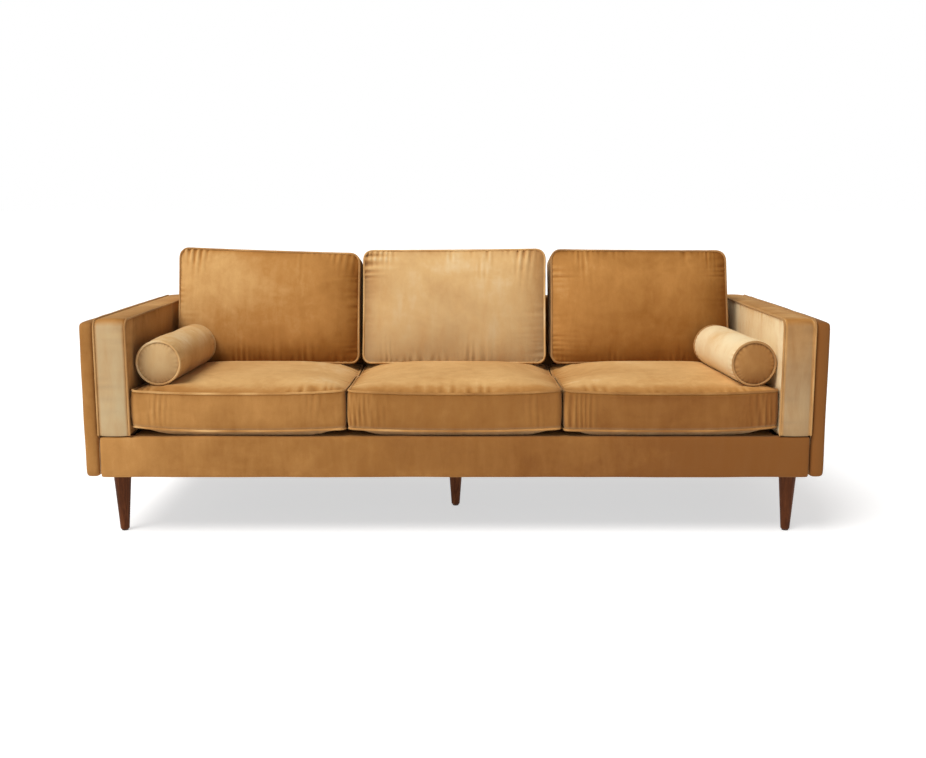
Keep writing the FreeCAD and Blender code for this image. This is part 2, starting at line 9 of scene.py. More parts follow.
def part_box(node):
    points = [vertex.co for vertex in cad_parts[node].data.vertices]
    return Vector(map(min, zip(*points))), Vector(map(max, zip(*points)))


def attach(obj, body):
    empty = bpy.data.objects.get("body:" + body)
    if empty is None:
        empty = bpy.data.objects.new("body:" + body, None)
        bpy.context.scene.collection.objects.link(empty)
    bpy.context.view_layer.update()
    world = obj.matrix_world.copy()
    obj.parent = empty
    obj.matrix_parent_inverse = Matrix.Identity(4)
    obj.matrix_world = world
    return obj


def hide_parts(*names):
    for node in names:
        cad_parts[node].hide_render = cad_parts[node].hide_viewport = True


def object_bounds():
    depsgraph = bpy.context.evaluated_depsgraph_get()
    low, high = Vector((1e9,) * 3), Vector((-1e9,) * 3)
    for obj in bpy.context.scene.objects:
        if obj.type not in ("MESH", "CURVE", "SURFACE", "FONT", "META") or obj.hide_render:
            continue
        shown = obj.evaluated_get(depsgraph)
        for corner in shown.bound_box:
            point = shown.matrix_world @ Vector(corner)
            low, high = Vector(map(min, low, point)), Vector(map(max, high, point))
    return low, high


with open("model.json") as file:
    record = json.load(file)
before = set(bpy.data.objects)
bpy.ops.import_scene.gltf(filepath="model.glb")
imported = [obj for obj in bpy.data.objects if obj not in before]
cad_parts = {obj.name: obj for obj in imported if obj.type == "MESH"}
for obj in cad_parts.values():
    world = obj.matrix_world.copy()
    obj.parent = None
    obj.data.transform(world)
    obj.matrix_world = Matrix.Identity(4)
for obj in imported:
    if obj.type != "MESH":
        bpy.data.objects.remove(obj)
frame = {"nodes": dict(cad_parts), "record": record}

CAD_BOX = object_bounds()

# ---- sizes that the CAD record's boxes don't give, in metres ----
PIPING_R = 0.0038  # piping around cushions
ARM_PIPING_R = 0.0032
LEAN = math.atan(72.0 / 348.0)  # slope of the inside back
BOLSTER_TURN = {"left": math.radians(-1.4), "right": math.radians(3.5)}
DECK_GAP = 0.0009  # between the seat cushions and what they lie on
PANEL_CELL = 0.016  # grid of the fixed upholstery
ZIP_LENGTH = 0.44
ARM_CLEARANCE = 0.0008  # of the bolsters
BACK_CLEARANCE = 0.0015  # of the back cushions from the arms
WALL_CLEARANCE = 0.002  # and from the inside back
ZIP_POCKET = 0.0062  # a zip underneath is recessed this far, so that it stays clear of the seat

# ---- tone, 0 dark and deep to 1 pale: it stands for how the pile lies and also carries painted light and shade, lit faces
# painted paler and shaded ones darker. The sheen value, 0 to 1, mixes in a painted sheen: the khaki of
# pile seen from the side. ----
NAP_SEAT_TOP = 0.70
# painted shade on the front roll of the seat tops
SEAT_FRONT_ROLL_PAINTED_SHADE = -0.22
NAP_SIDE = 0.25  # seat boxing, at the sofa's middle
SIDE_PAINTED_SHADE_SLOPE = -0.22  # and its change for each metre to the right: painted shade, a falloff of the light from the left
NAP_BAND = -0.08  # the base beside the boxing
NAP_BACK = {"left": 0.53, "middle": 0.75, "right": 0.37}
# painted shade at the foot of each back cushion, where it stands on the seat
BACK_FOOT_PAINTED_SHADE = {"left": -0.40, "middle": -0.16, "right": -0.30}
PAINTED_SHEEN_BACK = {"left": 0.0, "middle": 0.60, "right": 0.0}  # painted sheen, at the foot
CREASE_PAINTED_LIGHT = 0.42  # painted light and shade on creases: how much paler a ridge is, and darker a valley
# painted sheen on the seat boxing and the fixed panels
PAINTED_SHEEN_SIDE = 0.05
LIGHT_PATCHES = 0.05  # unevenness of the nap over a piece

# ---- light ----
SKY_LEVEL = 0.28
SKY_SIDE = 0.26  # how much brighter the sky is on the left than in the middle
HORIZON = (0.17, 0.24)  # the white horizon ends between these heights of the view direction
KEY_ENERGY = 2.8
KEY_FROM = (-0.43, -0.43, 0.89)
KEY_ANGLE = math.radians(34)
FLOOR_SIZE = 80.0
FLOOR_GLOW = 0.58  # keeps the shadow on the floor faint

# ---- camera, beside the front of the CAD box ----
CAMERA_X = 0.0245
CAMERA_DISTANCE = 3.215
CAMERA_HEIGHT = 1.0064
CAMERA_PITCH = math.radians(9.07)  # downwards
CAMERA_LENS = 43.19
CAMERA_SHIFT = -0.0036


# =============================================================== arrays and noise
def waves(points, seed, low, high, count=10):
    """Smooth noise of about -1 to 1: a sum of waves with random directions, low to high per metre."""
    rng = np.random.default_rng(seed)
    total = np.zeros(len(points))
    for _ in range(count):
        direction = rng.normal(size=3)
        direction /= np.linalg.norm(direction)
        rate = rng.uniform(low, high) * 2 * math.pi
        total += np.sin(points @ direction * rate + rng.uniform(0, 2 * math.pi))
    return total / math.sqrt(count)


def wander(along, seed, low, high, count=6):
    """The same in one dimension."""
    return waves(np.column_stack([along, 0 * along, 0 * along]), seed, low, high, count)


def ease(value, start, end):
    """0 before start, 1 after end, smooth between."""
    t = np.clip((value - start) / (end - start), 0, 1)
    return t * t * (3 - 2 * t)


def puckers(along, away, seed, spacing, reach):
    """Creases that run away from a seam. along is the place on the seam and away the distance
    from it. Ridges are round and valleys sharp; they start at the seam and fade at about reach."""
    away = np.clip(away, 0, None)
    fan = 1 + 0.8 * wander(along, seed + 1, 1.5, 4)
    phase = along / spacing * math.pi + 1.6 * wander(along, seed + 2, 4, 16) + 8 * fan * away
    strength = np.clip(0.5 + 0.75 * wander(along, seed + 3, 2, 9), 0.04, 1.2)
    length = reach * np.clip(0.75 + 0.5 * wander(along, seed + 4, 5, 18), 0.25, 1.7)
    profile = np.abs(np.sin(phase)) ** 0.8 - 0.6
    return strength * profile * np.exp(-((away / length) ** 1.4)) * ease(away, -0.004, 0.008)


def spaced(length, coarse, fine, band):
    """Places from 0 to length: fine steps within band of each end, and coarse ones between."""
    edge = np.linspace(0, band, round(band / fine) + 1)
    middle = np.linspace(band, length - band, round((length - 2 * band) / coarse) + 1)
    return np.concatenate([edge[:-1], middle, (length - edge[::-1])[1:]])


# =============================================================== mesh helpers
def make_object(name, points, faces, attributes=None):
    mesh = bpy.data.meshes.new(name)
    mesh.from_pydata([tuple(p) for p in points], [], [tuple(int(i) for i in f) for f in faces])
    mesh.update()
    mesh.shade_smooth()
    for key, values in (attributes or {}).items():
        layer = mesh.attributes.new(key, "FLOAT", "POINT")
        layer.data.foreach_set("value", np.asarray(values, np.float32))
    piece = bpy.data.objects.new(name, mesh)
    bpy.context.scene.collection.objects.link(piece)
    return piece


def set_points(piece, points):
    piece.data.vertices.foreach_set("co", np.asarray(points, np.float32).ravel())
    piece.data.update()


def get_points(mesh):
    co = np.zeros(len(mesh.vertices) * 3, np.float32)
    mesh.vertices.foreach_get("co", co)
    return co.reshape(-1, 3).astype(float)


def moved(points, matrix):
    """Points turned and shifted by a 4x4 matrix."""
    m = np.array(matrix, float)
    return points @ m[:3, :3].T + m[:3, 3]


def subdivided(piece):
    modifier = piece.modifiers.new("subdivision", "SUBSURF")
    modifier.levels = 1
    modifier.render_levels = 1


def finish_piece(piece, body, material, nodes=()):
    piece.data.materials.append(material)
    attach(piece, body)
    if nodes:
        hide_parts(*nodes)


# =============================================================== boxed forms
BEND_REACH = 0.06  # how far into a panel the bending of its seam is felt
RECESS_ENDS = (0.006, 0.036)  # a zip's recess begins to fade, and ends, this far past the zip
RECESS_SIDES = (0.016, 0.034)  # and this far from its middle line


def zip_recess(along, half, across):
    """1 over a zip of that half length, fading to 0 around it."""
    past_end = ease(np.abs(along), half + RECESS_ENDS[0], half + RECESS_ENDS[1])
    return (1 - past_end) * (1 - ease(np.abs(across), *RECESS_SIDES))


class BoxedForm:
    """A closed form of two panels sewn to a band of boxing, as a grid.

    It lies flat: the upper panel's seam is near z = 0 and the lower one's near z = -thick. x runs
    from -width/2 to width/2 and y from 0 to length. radii rounds the corners in the order near left,
    near right, far right, far left. slope moves the near side in by that much for each metre down.
    """

    def __init__(self, width, length, thick, radii, inset, cell, fine, band, slope=0.0, waist=(0, 0)):
        self.width, self.length, self.thick = width, length, thick
        self.us = 2 * spaced(width, cell, fine, band) / width - 1
        self.vs = spaced(length, cell, fine, band) / length
        self.nb = max(6, round(thick / cell))
        self.inset, self.slope, self.radii, self.waist = inset, slope, radii, waist
        self._grid()
        self.crease = np.zeros(len(self.points))
        self.folds = np.zeros_like(self.points)  # creases, which are added after the cloth has settled

    def _outline(self, x, y, depth):
        """The square grid's x, y moved into the rounded, slightly waisted outline at that depth."""
        half, length = self.width / 2 - self.inset, self.length
        near = self.slope * depth + self.inset
        far = length - self.inset
        px = x * half
        py = near + (far - near) * y
        for side_x, side_y, radius in zip((-1, 1, 1, -1), (0, 0, 1, 1), self.radii):
            radius = max(radius - self.inset, 0.001)
            cx = side_x * (half - radius)
            cy = far - radius if side_y else near + radius
            dx = (px - cx) * side_x
            dy = (py - cy) * (1 if side_y else -1)
            inside = (dx > 0) & (dy > 0)
            tx, ty = np.clip(dx / radius, 0, 1), np.clip(dy / radius, 0, 1)
            nx = radius * tx * np.sqrt(1 - ty * ty / 2)
            ny = radius * ty * np.sqrt(1 - tx * tx / 2)
            px = np.where(inside, cx + side_x * nx, px)
            py = np.where(inside, cy + (ny if side_y else -ny), py)
        share_x, share_y = px / half, (py - near) / (far - near)
        px = px - self.waist[0] * share_x * (1 - np.abs(2 * share_y - 1) ** 3)
        py = py - self.waist[1] * share_y * (1 - np.abs(share_x) ** 3)
        return px, py

    def _grid(self):
        nu, nv, nb = len(self.us) - 1, len(self.vs) - 1, self.nb
        i, j = np.meshgrid(np.arange(nu + 1), np.arange(nv + 1), indexing="ij")
        ring = [(a, 0) for a in range(nu)] + [(nu, b) for b in range(nv)]
        ring += [(a, nv) for a in range(nu, 0, -1)] + [(0, b) for b in range(nv, 0, -1)]
        ring = np.array(ring)
        panel = (nu + 1) * (nv + 1)
        self.index = np.arange(panel).reshape(nu + 1, nv + 1)
        self.seam_upper = self.index[ring[:, 0], ring[:, 1]]
        self.seam_lower = self.seam_upper + panel
        self.ring_places = ring
        count = len(ring)
        self.rows = [self.seam_upper]
        self.rows += [np.arange(count) + 2 * panel + r * count for r in range(nb - 1)]
        self.rows += [self.seam_lower]
        u, v = self.us[i].ravel(), self.vs[j].ravel()
        ru, rv = self.us[ring[:, 0]], self.vs[ring[:, 1]]
        levels = [(0.0, u, v), (self.thick, u, v)]
        levels += [(self.thick * r / nb, ru, rv) for r in range(1, nb)]
        blocks, across = [], []
        for depth, uu, vv in levels:
            x, y = self._outline(uu, vv, depth)
            blocks.append(np.column_stack([x, y, np.full(len(x), -depth)]))
            across.append(np.full(len(x), depth / self.thick))
        self.points = np.concatenate(blocks)
        self.across = np.concatenate(across)
        self.is_side = np.arange(len(self.points)) >= 2 * panel
        self.is_upper = np.arange(len(self.points)) < panel
        self.is_lower = ~self.is_side & ~self.is_upper
        self.faces = self._faces()
        self._outward()

    def _faces(self):
        n = self.index
        a, b, c, d = n[:-1, :-1].ravel(), n[1:, :-1].ravel(), n[1:, 1:].ravel(), n[:-1, 1:].ravel()
        upper = np.column_stack([a, b, c, d])
        lower = upper[:, ::-1] + n.size
        sides = []
        for high, low in zip(self.rows[:-1], self.rows[1:]):
            sides.append(np.column_stack([high, low, np.roll(low, -1), np.roll(high, -1)]))
        return np.concatenate([upper, lower] + sides)

    def _outward(self):
        """Outward directions along the boxing, and distance along the seam from the near left corner."""
        loop = self.points[self.seam_upper]
        tangent = np.roll(loop, -1, 0) - np.roll(loop, 1, 0)
        normal = np.column_stack([tangent[:, 1], -tangent[:, 0], 0 * tangent[:, 0]])
        self.loop_normal = normal / np.linalg.norm(normal, axis=1)[:, None]
        steps = np.linalg.norm(np.roll(loop, -1, 0) - loop, axis=1)
        self.loop_along = np.concatenate([[0], np.cumsum(steps)[:-1]])
        self.side_normal = np.zeros_like(self.points)
        self.side_along = np.zeros(len(self.points))
        for row in self.rows:
            self.side_normal[row] = self.loop_normal
            self.side_along[row] = self.loop_along

    def edge_distances(self):
        """Distance of each panel point from the left, near, right and far seams."""
        half = self.width / 2 - self.inset
        near = self.slope * -self.points[:, 2] + self.inset
        far = self.length - self.inset
        x, y = self.points[:, 0], self.points[:, 1]
        return x + half, y - near, half - x, far - y

    def add_crown(self, mask, height, width, sign, corner=0.0):
        """Raises a panel off its seams, by height in the middle, within about width of the seams
        and, where it is given, less within about corner of the corners."""
        left, near, right, far = self.edge_distances()
        rise = np.ones(len(self.points))
        if corner:
            reach = np.hypot(np.minimum(left, right), np.minimum(near, far))
            rise = 1 - np.exp(-((reach / corner) ** 2))
        for distance in (left, near, right, far):
            rise = rise * (1 - np.exp(-np.clip(distance, 0, None) / width))
        self.points[:, 2] += np.where(mask, sign * height * rise, 0)

    def bulge_boxing(self, amount):
        """Lets the boxing swell out between its two seams."""
        swell = amount * np.sin(math.pi * self.across) ** 0.75
        self.points += np.where(self.is_side, swell, 0)[:, None] * self.side_normal

    def bend_seam(self, loop_rows, offset):
        """Shifts a seam in z by offset, one value for each point of the seam, and the panel and
        boxing near it with it. Every third point of the seam is enough for the panel."""
        ring = self.points[loop_rows][:, :2]
        panel = self.is_upper if loop_rows[0] == self.seam_upper[0] else self.is_lower
        ids = np.where(panel)[0]
        pts = self.points[ids][:, :2]
        gap = np.linalg.norm(pts[:, None, :] - ring[None, ::3, :], axis=2)
        weight = np.exp(-((gap / BEND_REACH) ** 2)) + 1e-9
        share = (weight * offset[None, ::3]).sum(1) / weight.sum(1)
        fall = np.exp(-((gap.min(1) / BEND_REACH) ** 2))
        self.points[ids, 2] += share * fall
        self.points[loop_rows, 2] += offset - (share * fall)[np.searchsorted(ids, loop_rows)]
        side_share = 1 - self.across if panel is self.is_upper else self.across
        for row in self.rows[1:-1]:
            self.points[row, 2] += offset * side_share[row]

    def add_puckers(self, mask, seed, spacing, reach, depth, sign, sides=(1, 1, 1, 1)):
        """Creases across a panel from each of its seams, left, near, right and far."""
        x, y = self.points[:, 0], self.points[:, 1]
        total = np.zeros(len(self.points))
        for k, (away, along) in enumerate(zip(self.edge_distances(), (y, x, y, x))):
            total += sides[k] * puckers(along, np.clip(away, 0, None), seed + 10 * k, spacing, reach)
        self.folds[:, 2] += np.where(mask, sign * depth * total, 0)
        self.crease += np.where(mask, total, 0)

    def pucker_boxing(self, seed, spacing, depth, strength):
        """Upright creases in the boxing. strength is a function of the place."""
        along = self.side_along
        inner = np.sin(math.pi * self.across)
        away_up = self.across * self.thick
        away_down = (1 - self.across) * self.thick
        fold = puckers(along, away_up, seed, spacing, self.thick * 0.6)
        fold = fold + puckers(along, away_down, seed + 50, spacing, self.thick * 0.6)
        amount = fold * np.sqrt(np.clip(inner, 0, 1)) * strength(self.points)
        self.folds += np.where(self.is_side, depth * amount, 0)[:, None] * self.side_normal
        self.crease += np.where(self.is_side, 1.2 * amount, 0)

    def zip_pocket(self):
        """1 along the zip in the near side's boxing, 0 elsewhere."""
        recess = zip_recess(self.points[:, 0], ZIP_LENGTH / 2, (self.across - 0.5) * self.thick)
        return np.where(self.is_side & (self.side_normal[:, 1] < -0.9), recess, 0)

    def seam_nearness(self):
        """1 at a seam, fading within about a centimetre: where the velvet gets painted shade."""
        distances = np.stack(self.edge_distances())
        panel = np.clip(distances.min(0), 0, None)
        side = np.minimum(self.across, 1 - self.across) * self.thick
        return np.exp(-np.where(self.is_side, side, panel) / 0.011)


# =============================================================== other solid forms
SLAB_UNEVEN = 0.0006
SLAB_EDGE = 0.8  # where the outermost grid line lies, as a share of the edge's radius


def slab_grid(low, size, counts):
    """The six faces of a box as grids that share their edge points."""
    points, faces, seen = [], [], {}

    def vertex(key):
        if key not in seen:
            seen[key] = len(points)
            points.append([low[a] + size[a] * key[a] / counts[a] for a in range(3)])
        return seen[key]

    for axis in range(3):
        p, q = (axis + 1) % 3, (axis + 2) % 3
        for end in (0, counts[axis]):
            for i in range(counts[p]):
                for j in range(counts[q]):
                    quad = []
                    for di, dj in ((0, 0), (1, 0), (1, 1), (0, 1)):
                        key = [0, 0, 0]
                        key[axis], key[p], key[q] = int(end), i + di, j + dj
                        quad.append(vertex(tuple(key)))
                    faces.append(quad if end else quad[::-1])
    return np.array(points), faces


def soft_slab(low, high, radius, cell, pillow, seed, shear=None):
    """A padded slab with rounded edges. pillow is how far each pair of faces swells, in x, y, z."""
    low, high = np.array(low, float), np.array(high, float)
    size = high - low
    counts = np.maximum(4, np.round(size / cell).astype(int))
    pts, faces = slab_grid(low, size, counts)
    # the outermost grid lines move in to the start of the rounding, so that the edges stay crisp
    for a in range(3):
        t = (pts[:, a] - low[a]) / size[a]
        step = 1 / counts[a]
        edge = radius * SLAB_EDGE / size[a]
        t = np.where(np.isclose(t, step), edge, t)
        t = np.where(np.isclose(t, 1 - step), 1 - edge, t)
        pts[:, a] = low[a] + t * size[a]
    core = np.clip(pts, low + radius, high - radius)
    away = pts - core
    away /= np.maximum(np.linalg.norm(away, axis=1), 1e-9)[:, None]
    pts = core + away * radius
    middle = (low + high) / 2
    inward = np.clip(1 - ((pts - middle) / (size / 2)) ** 2, 0, 1)
    for a in range(3):
        p, q = (a + 1) % 3, (a + 2) % 3
        pts[:, a] += away[:, a] * pillow[a] * (inward[:, p] * inward[:, q]) ** 0.45
    pts += away * (SLAB_UNEVEN * waves(pts, seed, 2, 9))[:, None]
    if shear:
        pts = shear(pts)
    return pts, faces


TUBE_SIDES = 10
TUBE_UNEVEN = 0.05


def tube(path, radius, closed, seed):
    """Points and faces of a slightly uneven round tube along a path, capped at open ends."""
    sides = TUBE_SIDES
    path = np.asarray(path, float)
    count = len(path)
    if closed:
        tangent = np.roll(path, -1, 0) - np.roll(path, 1, 0)
    else:
        tangent = np.gradient(path, axis=0)
    tangent /= np.linalg.norm(tangent, axis=1)[:, None]
    normal = np.zeros_like(path)
    start = np.cross(tangent[0], [0.31, 0.27, 0.91])
    normal[0] = start / np.linalg.norm(start)
    for i in range(1, count):
        n = normal[i - 1] - tangent[i] * (normal[i - 1] @ tangent[i])
        normal[i] = n / np.linalg.norm(n)
    if closed:  # spread the leftover twist evenly
        last = normal[-1] - tangent[0] * (normal[-1] @ tangent[0])
        last /= np.linalg.norm(last)
        twist = math.atan2(np.cross(last, normal[0]) @ tangent[0], last @ normal[0])
        angle = twist * np.arange(count) / count
        binormal = np.cross(tangent, normal)
        normal = normal * np.cos(angle)[:, None] + binormal * np.sin(angle)[:, None]
    binormal = np.cross(tangent, normal)
    turn = 2 * math.pi * np.arange(sides) / sides
    r = radius * (1 + TUBE_UNEVEN * waves(path, seed, 20, 60))
    ring = normal[:, None] * np.cos(turn)[:, None] + binormal[:, None] * np.sin(turn)[:, None]
    points = (path[:, None, :] + ring * r[:, None, None]).reshape(-1, 3)
    faces = []
    for i in range(count if closed else count - 1):
        k = (i + 1) % count
        for s in range(sides):
            t = (s + 1) % sides
            faces.append([i * sides + s, i * sides + t, k * sides + t, k * sides + s])
    if not closed:
        faces.append(list(range(sides))[::-1])
        faces.append([(count - 1) * sides + s for s in range(sides)])
    return points, faces


def joined(parts):
    """Several (points, faces) as one."""
    points, faces, base = [], [], 0
    for p, f in parts:
        points.append(np.asarray(p))
        faces += [[int(i) + base for i in face] for face in f]
        base += len(p)
    return np.concatenate(points), faces


def smoothed_loop(points, spacing):
    """A closed loop resampled evenly and smoothed a little."""
    steps = np.linalg.norm(np.roll(points, -1, 0) - points, axis=1)
    along = np.concatenate([[0], np.cumsum(steps)])
    ring = np.vstack([points, points[:1]])
    count = max(12, int(along[-1] / spacing))
    at = np.linspace(0, along[-1], count, endpoint=False)
    out = np.column_stack([np.interp(at, along, ring[:, a]) for a in range(3)])
    return (np.roll(out, 1, 0) + 2 * out + np.roll(out, -1, 0)) / 4


# =============================================================== materials
def new_material(name):
    material = bpy.data.materials.new(name)
    material.use_nodes = True
    tree = material.node_tree
    tree.nodes.clear()
    out = tree.nodes.new("ShaderNodeOutputMaterial")
    shader = tree.nodes.new("ShaderNodeBsdfPrincipled")
    tree.links.new(shader.outputs["BSDF"], out.inputs["Surface"])
    place = add(tree, "ShaderNodeTexCoord").outputs["Object"]
    return material, tree, shader, place


def add(tree, kind, inputs=None, **settings):
    """A node with its settings and inputs. An input that is a socket is linked."""
    node = tree.nodes.new(kind)
    for key, value in settings.items():
        setattr(node, key, value)
    for key, value in (inputs or {}).items():
        if isinstance(value, bpy.types.NodeSocket):
            tree.links.new(value, node.inputs[key])
        else:
            node.inputs[key].default_value = value
    return node


def dress(tree, shader, colour, roughness, normal=None):
    """Links the shader's colour, roughness and bump."""
    tree.links.new(colour, shader.inputs["Base Color"])
    tree.links.new(roughness, shader.inputs["Roughness"])
    if normal is not None:
        tree.links.new(normal, shader.inputs["Normal"])


def maths(tree, operation, a, b, clamp=False):
    return add(tree, "ShaderNodeMath", {0: a, 1: b}, operation=operation, use_clamp=clamp).outputs[0]


def linear(tree, value, factor, base):
    """value * factor + base."""
    return maths(tree, "ADD", maths(tree, "MULTIPLY", value, factor), base)


def noise(tree, place, scale, detail=3.0, roughness=0.5, distortion=0.0):
    inputs = {
        "Vector": place,
        "Scale": scale,
        "Detail": detail,
        "Roughness": roughness,
        "Distortion": distortion,
    }
    return add(tree, "ShaderNodeTexNoise", inputs).outputs["Fac"]


def stretched(tree, place, scale):
    return add(tree, "ShaderNodeMapping", {"Vector": place, "Scale": scale}).outputs["Vector"]


def ramp(tree, factor, stops):
    node = add(tree, "ShaderNodeValToRGB", {"Fac": factor})
    elements = node.color_ramp.elements
    while len(elements) < len(stops):
        elements.new(0.5)
    for element, (position, colour) in zip(elements, stops):
        element.position = position
        element.color = (*colour, 1.0)
    return node.outputs["Color"]


def bump(tree, height, strength, distance, normal=None):
    inputs = {"Height": height, "Strength": strength, "Distance": distance}
    if normal is not None:
        inputs["Normal"] = normal
    return add(tree, "ShaderNodeBump", inputs).outputs["Normal"]


VELVET_STOPS = (
    (0.0, (0.190, 0.063, 0.010)),
    (0.25, (0.285, 0.117, 0.025)),
    (0.5, (0.449, 0.212, 0.059)),
    (0.75, (0.668, 0.400, 0.158)),
    (1.0, (0.855, 0.700, 0.440)),
)
# colour of the painted sheen: the khaki of pile seen from the side
VELVET_PAINTED_SHEEN_KHAKI = (0.500, 0.385, 0.222, 1.0)
SEAM_SHADE = 0.16  # painted shade: how much darker the tone is in a seam


def velvet_material():
    """Cotton velvet: an attribute sets its tone, which stands for how the pile lies and also for painted
    light and shade, and brush marks and pile grain vary it. A second attribute paints shade into the
    seams, and a third mixes in a painted sheen."""
    material, tree, shader, place = new_material("mustard_velvet")
    nap_and_painted_light = add(tree, "ShaderNodeAttribute", attribute_name="nap_and_painted_light").outputs["Fac"]
    seam = add(tree, "ShaderNodeAttribute", attribute_name="seam").outputs["Fac"]
    brushed = noise(tree, stretched(tree, place, (1.0, 1.0, 1.6)), 4.5, 3.0, 0.55, 0.9)
    streaks = noise(tree, stretched(tree, place, (9.0, 9.0, 2.2)), 3.2, 4.0, 0.6, 0.4)
    mottle = noise(tree, place, 38.0, 3.0, 0.6, 0.6)
    grain = noise(tree, place, 900.0, 2.0, 0.7)
    total = nap_and_painted_light
    for pattern, weight in ((brushed, 0.32), (streaks, 0.20), (mottle, 0.12), (grain, 0.16)):
        centred = maths(tree, "SUBTRACT", pattern, 0.5)
        total = maths(tree, "ADD", total, maths(tree, "MULTIPLY", centred, weight))
    # painted shade in the seams
    total = maths(tree, "SUBTRACT", total, maths(tree, "MULTIPLY", seam, SEAM_SHADE), clamp=True)
    # painted sheen: khaki mixed into the colour in streaks
    painted_sheen = add(tree, "ShaderNodeAttribute", attribute_name="painted_sheen").outputs["Fac"]
    patchy = maths(tree, "MULTIPLY", painted_sheen, linear(tree, streaks, 0.9, 0.45), clamp=True)
    mix = {"Factor": patchy, "A": ramp(tree, total, VELVET_STOPS), "B": VELVET_PAINTED_SHEEN_KHAKI}
    colour = add(tree, "ShaderNodeMix", mix, data_type="RGBA").outputs["Result"]
    rough = linear(tree, mottle, 0.18, 0.78)
    crushed = bump(tree, mottle, 0.16, 0.004)
    dress(tree, shader, colour, rough, bump(tree, grain, 0.22, 0.0006, crushed))
    shader.inputs["Specular IOR Level"].default_value = 0.06
    shader.inputs["Sheen Weight"].default_value = 0.28
    shader.inputs["Sheen Roughness"].default_value = 0.38
    shader.inputs["Sheen Tint"].default_value = (1.0, 0.78, 0.46, 1.0)
    return material


def leg_wood_material():
    """Dark stained, lacquered hardwood with grain running up the leg."""
    material, tree, shader, place = new_material("dark_walnut")
    warp = noise(tree, stretched(tree, place, (60.0, 60.0, 5.0)), 1.0, 4.0, 0.6, 1.4)
    fibres = noise(tree, stretched(tree, place, (420.0, 420.0, 14.0)), 1.0, 3.0, 0.6)
    mixed = maths(tree, "ADD", maths(tree, "MULTIPLY", warp, 0.7), maths(tree, "MULTIPLY", fibres, 0.3))
    stops = ((0.28, (0.034, 0.009, 0.003)), (0.5, (0.095, 0.027, 0.008)), (0.72, (0.19, 0.062, 0.020)))
    rough = linear(tree, fibres, 0.16, 0.34)
    dress(tree, shader, ramp(tree, mixed, stops), rough, bump(tree, fibres, 0.10, 0.0005))
    shader.inputs["Specular IOR Level"].default_value = 0.08
    return material


def timber_material(name, pale, dark):
    """Plain sawn softwood or plywood."""
    material, tree, shader, place = new_material(name)
    grain = noise(tree, stretched(tree, place, (4.0, 40.0, 40.0)), 1.0, 4.0, 0.6, 1.0)
    colour = ramp(tree, grain, ((0.3, dark), (0.7, pale)))
    rough = linear(tree, grain, 0.2, 0.6)
    dress(tree, shader, colour, rough, bump(tree, grain, 0.2, 0.001))
    return material


def woven_material(name, colour, dark, scale):
    """Plain woven or felted cloth: two crossed sets of threads."""
    material, tree, shader, place = new_material(name)
    threads = []
    inputs = {"Vector": place, "Scale": scale, "Distortion": 0.6, "Detail": 1.0}
    for direction in ("X", "Y"):
        node = add(tree, "ShaderNodeTexWave", inputs, bands_direction=direction)
        threads.append(node.outputs["Fac"])
    weave = maths(tree, "MAXIMUM", threads[0], threads[1])
    patch = noise(tree, place, 9.0, 3.0, 0.6)
    mixed = maths(tree, "ADD", maths(tree, "MULTIPLY", weave, 0.6), maths(tree, "MULTIPLY", patch, 0.4))
    tone = ramp(tree, mixed, ((0.2, dark), (0.8, colour)))
    rough = maths(tree, "SUBTRACT", 0.9, maths(tree, "MULTIPLY", weave, 0.08))
    dress(tree, shader, tone, rough, bump(tree, weave, 0.3, 0.0005))
    return material


def metal_material(name, bright, dark, roughness):
    material, tree, shader, place = new_material(name)
    stain = noise(tree, place, 60.0, 3.0, 0.6)
    rough = linear(tree, stain, 0.2, roughness)
    dress(tree, shader, ramp(tree, stain, ((0.3, dark), (0.7, bright))), rough)
    shader.inputs["Metallic"].default_value = 1.0
    return material


def plastic_material(name, colour):
    material, tree, shader, place = new_material(name)
    grain = noise(tree, place, 400.0, 2.0, 0.6)
    pale = tuple(c * 1.5 for c in colour)
    rough = linear(tree, grain, 0.2, 0.45)
    tone = ramp(tree, grain, ((0.3, colour), (0.7, pale)))
    dress(tree, shader, tone, rough, bump(tree, grain, 0.15, 0.0003))
    return material


VELVET = velvet_material()
LEG_WOOD = leg_wood_material()
TIMBER = timber_material("sawn_pine", (0.70, 0.50, 0.28), (0.52, 0.33, 0.16))
PLYWOOD = timber_material("plywood", (0.66, 0.47, 0.27), (0.50, 0.33, 0.18))
FOAM = woven_material("cream_foam", (0.80, 0.72, 0.50), (0.66, 0.57, 0.36), 900.0)
SPRING_STEEL = metal_material("spring_steel", (0.30, 0.30, 0.31), (0.16, 0.16, 0.17), 0.35)
ZINC = metal_material("zinc_plate", (0.62, 0.63, 0.65), (0.45, 0.46, 0.48), 0.25)
WEBBING = woven_material("jute_webbing", (0.42, 0.31, 0.19), (0.24, 0.17, 0.10), 400.0)
DUST_CLOTH = woven_material("black_lining", (0.030, 0.030, 0.032), (0.012, 0.012, 0.013), 700.0)
DECK_CLOTH = woven_material("deck_cloth", (0.46, 0.26, 0.09), (0.32, 0.17, 0.05), 420.0)
GLIDE = plastic_material("glide_plastic", (0.030, 0.026, 0.022))
ZIP_TEETH = plastic_material("zip_teeth", (0.24, 0.13, 0.05))
BRASS = metal_material("zip_slider", (0.60, 0.42, 0.20), (0.42, 0.28, 0.12), 0.30)

CAD_MATERIALS = {
    "leg_wood": LEG_WOOD,
    "timber": TIMBER,
    "plywood": PLYWOOD,
    "foam": FOAM,
    "spring_steel": SPRING_STEEL,
    "zinc_steel": ZINC,
    "webbing": WEBBING,
    "dust_cloth": DUST_CLOTH,
    "glide_plastic": GLIDE,
    "velvet": VELVET,
}


def dress_cad_nodes():
    for part in frame["record"]["subparts"]:
        node = frame["nodes"][part["node"]]
        node.data.materials.clear()
        node.data.materials.append(CAD_MATERIALS[part["material_slot"]])


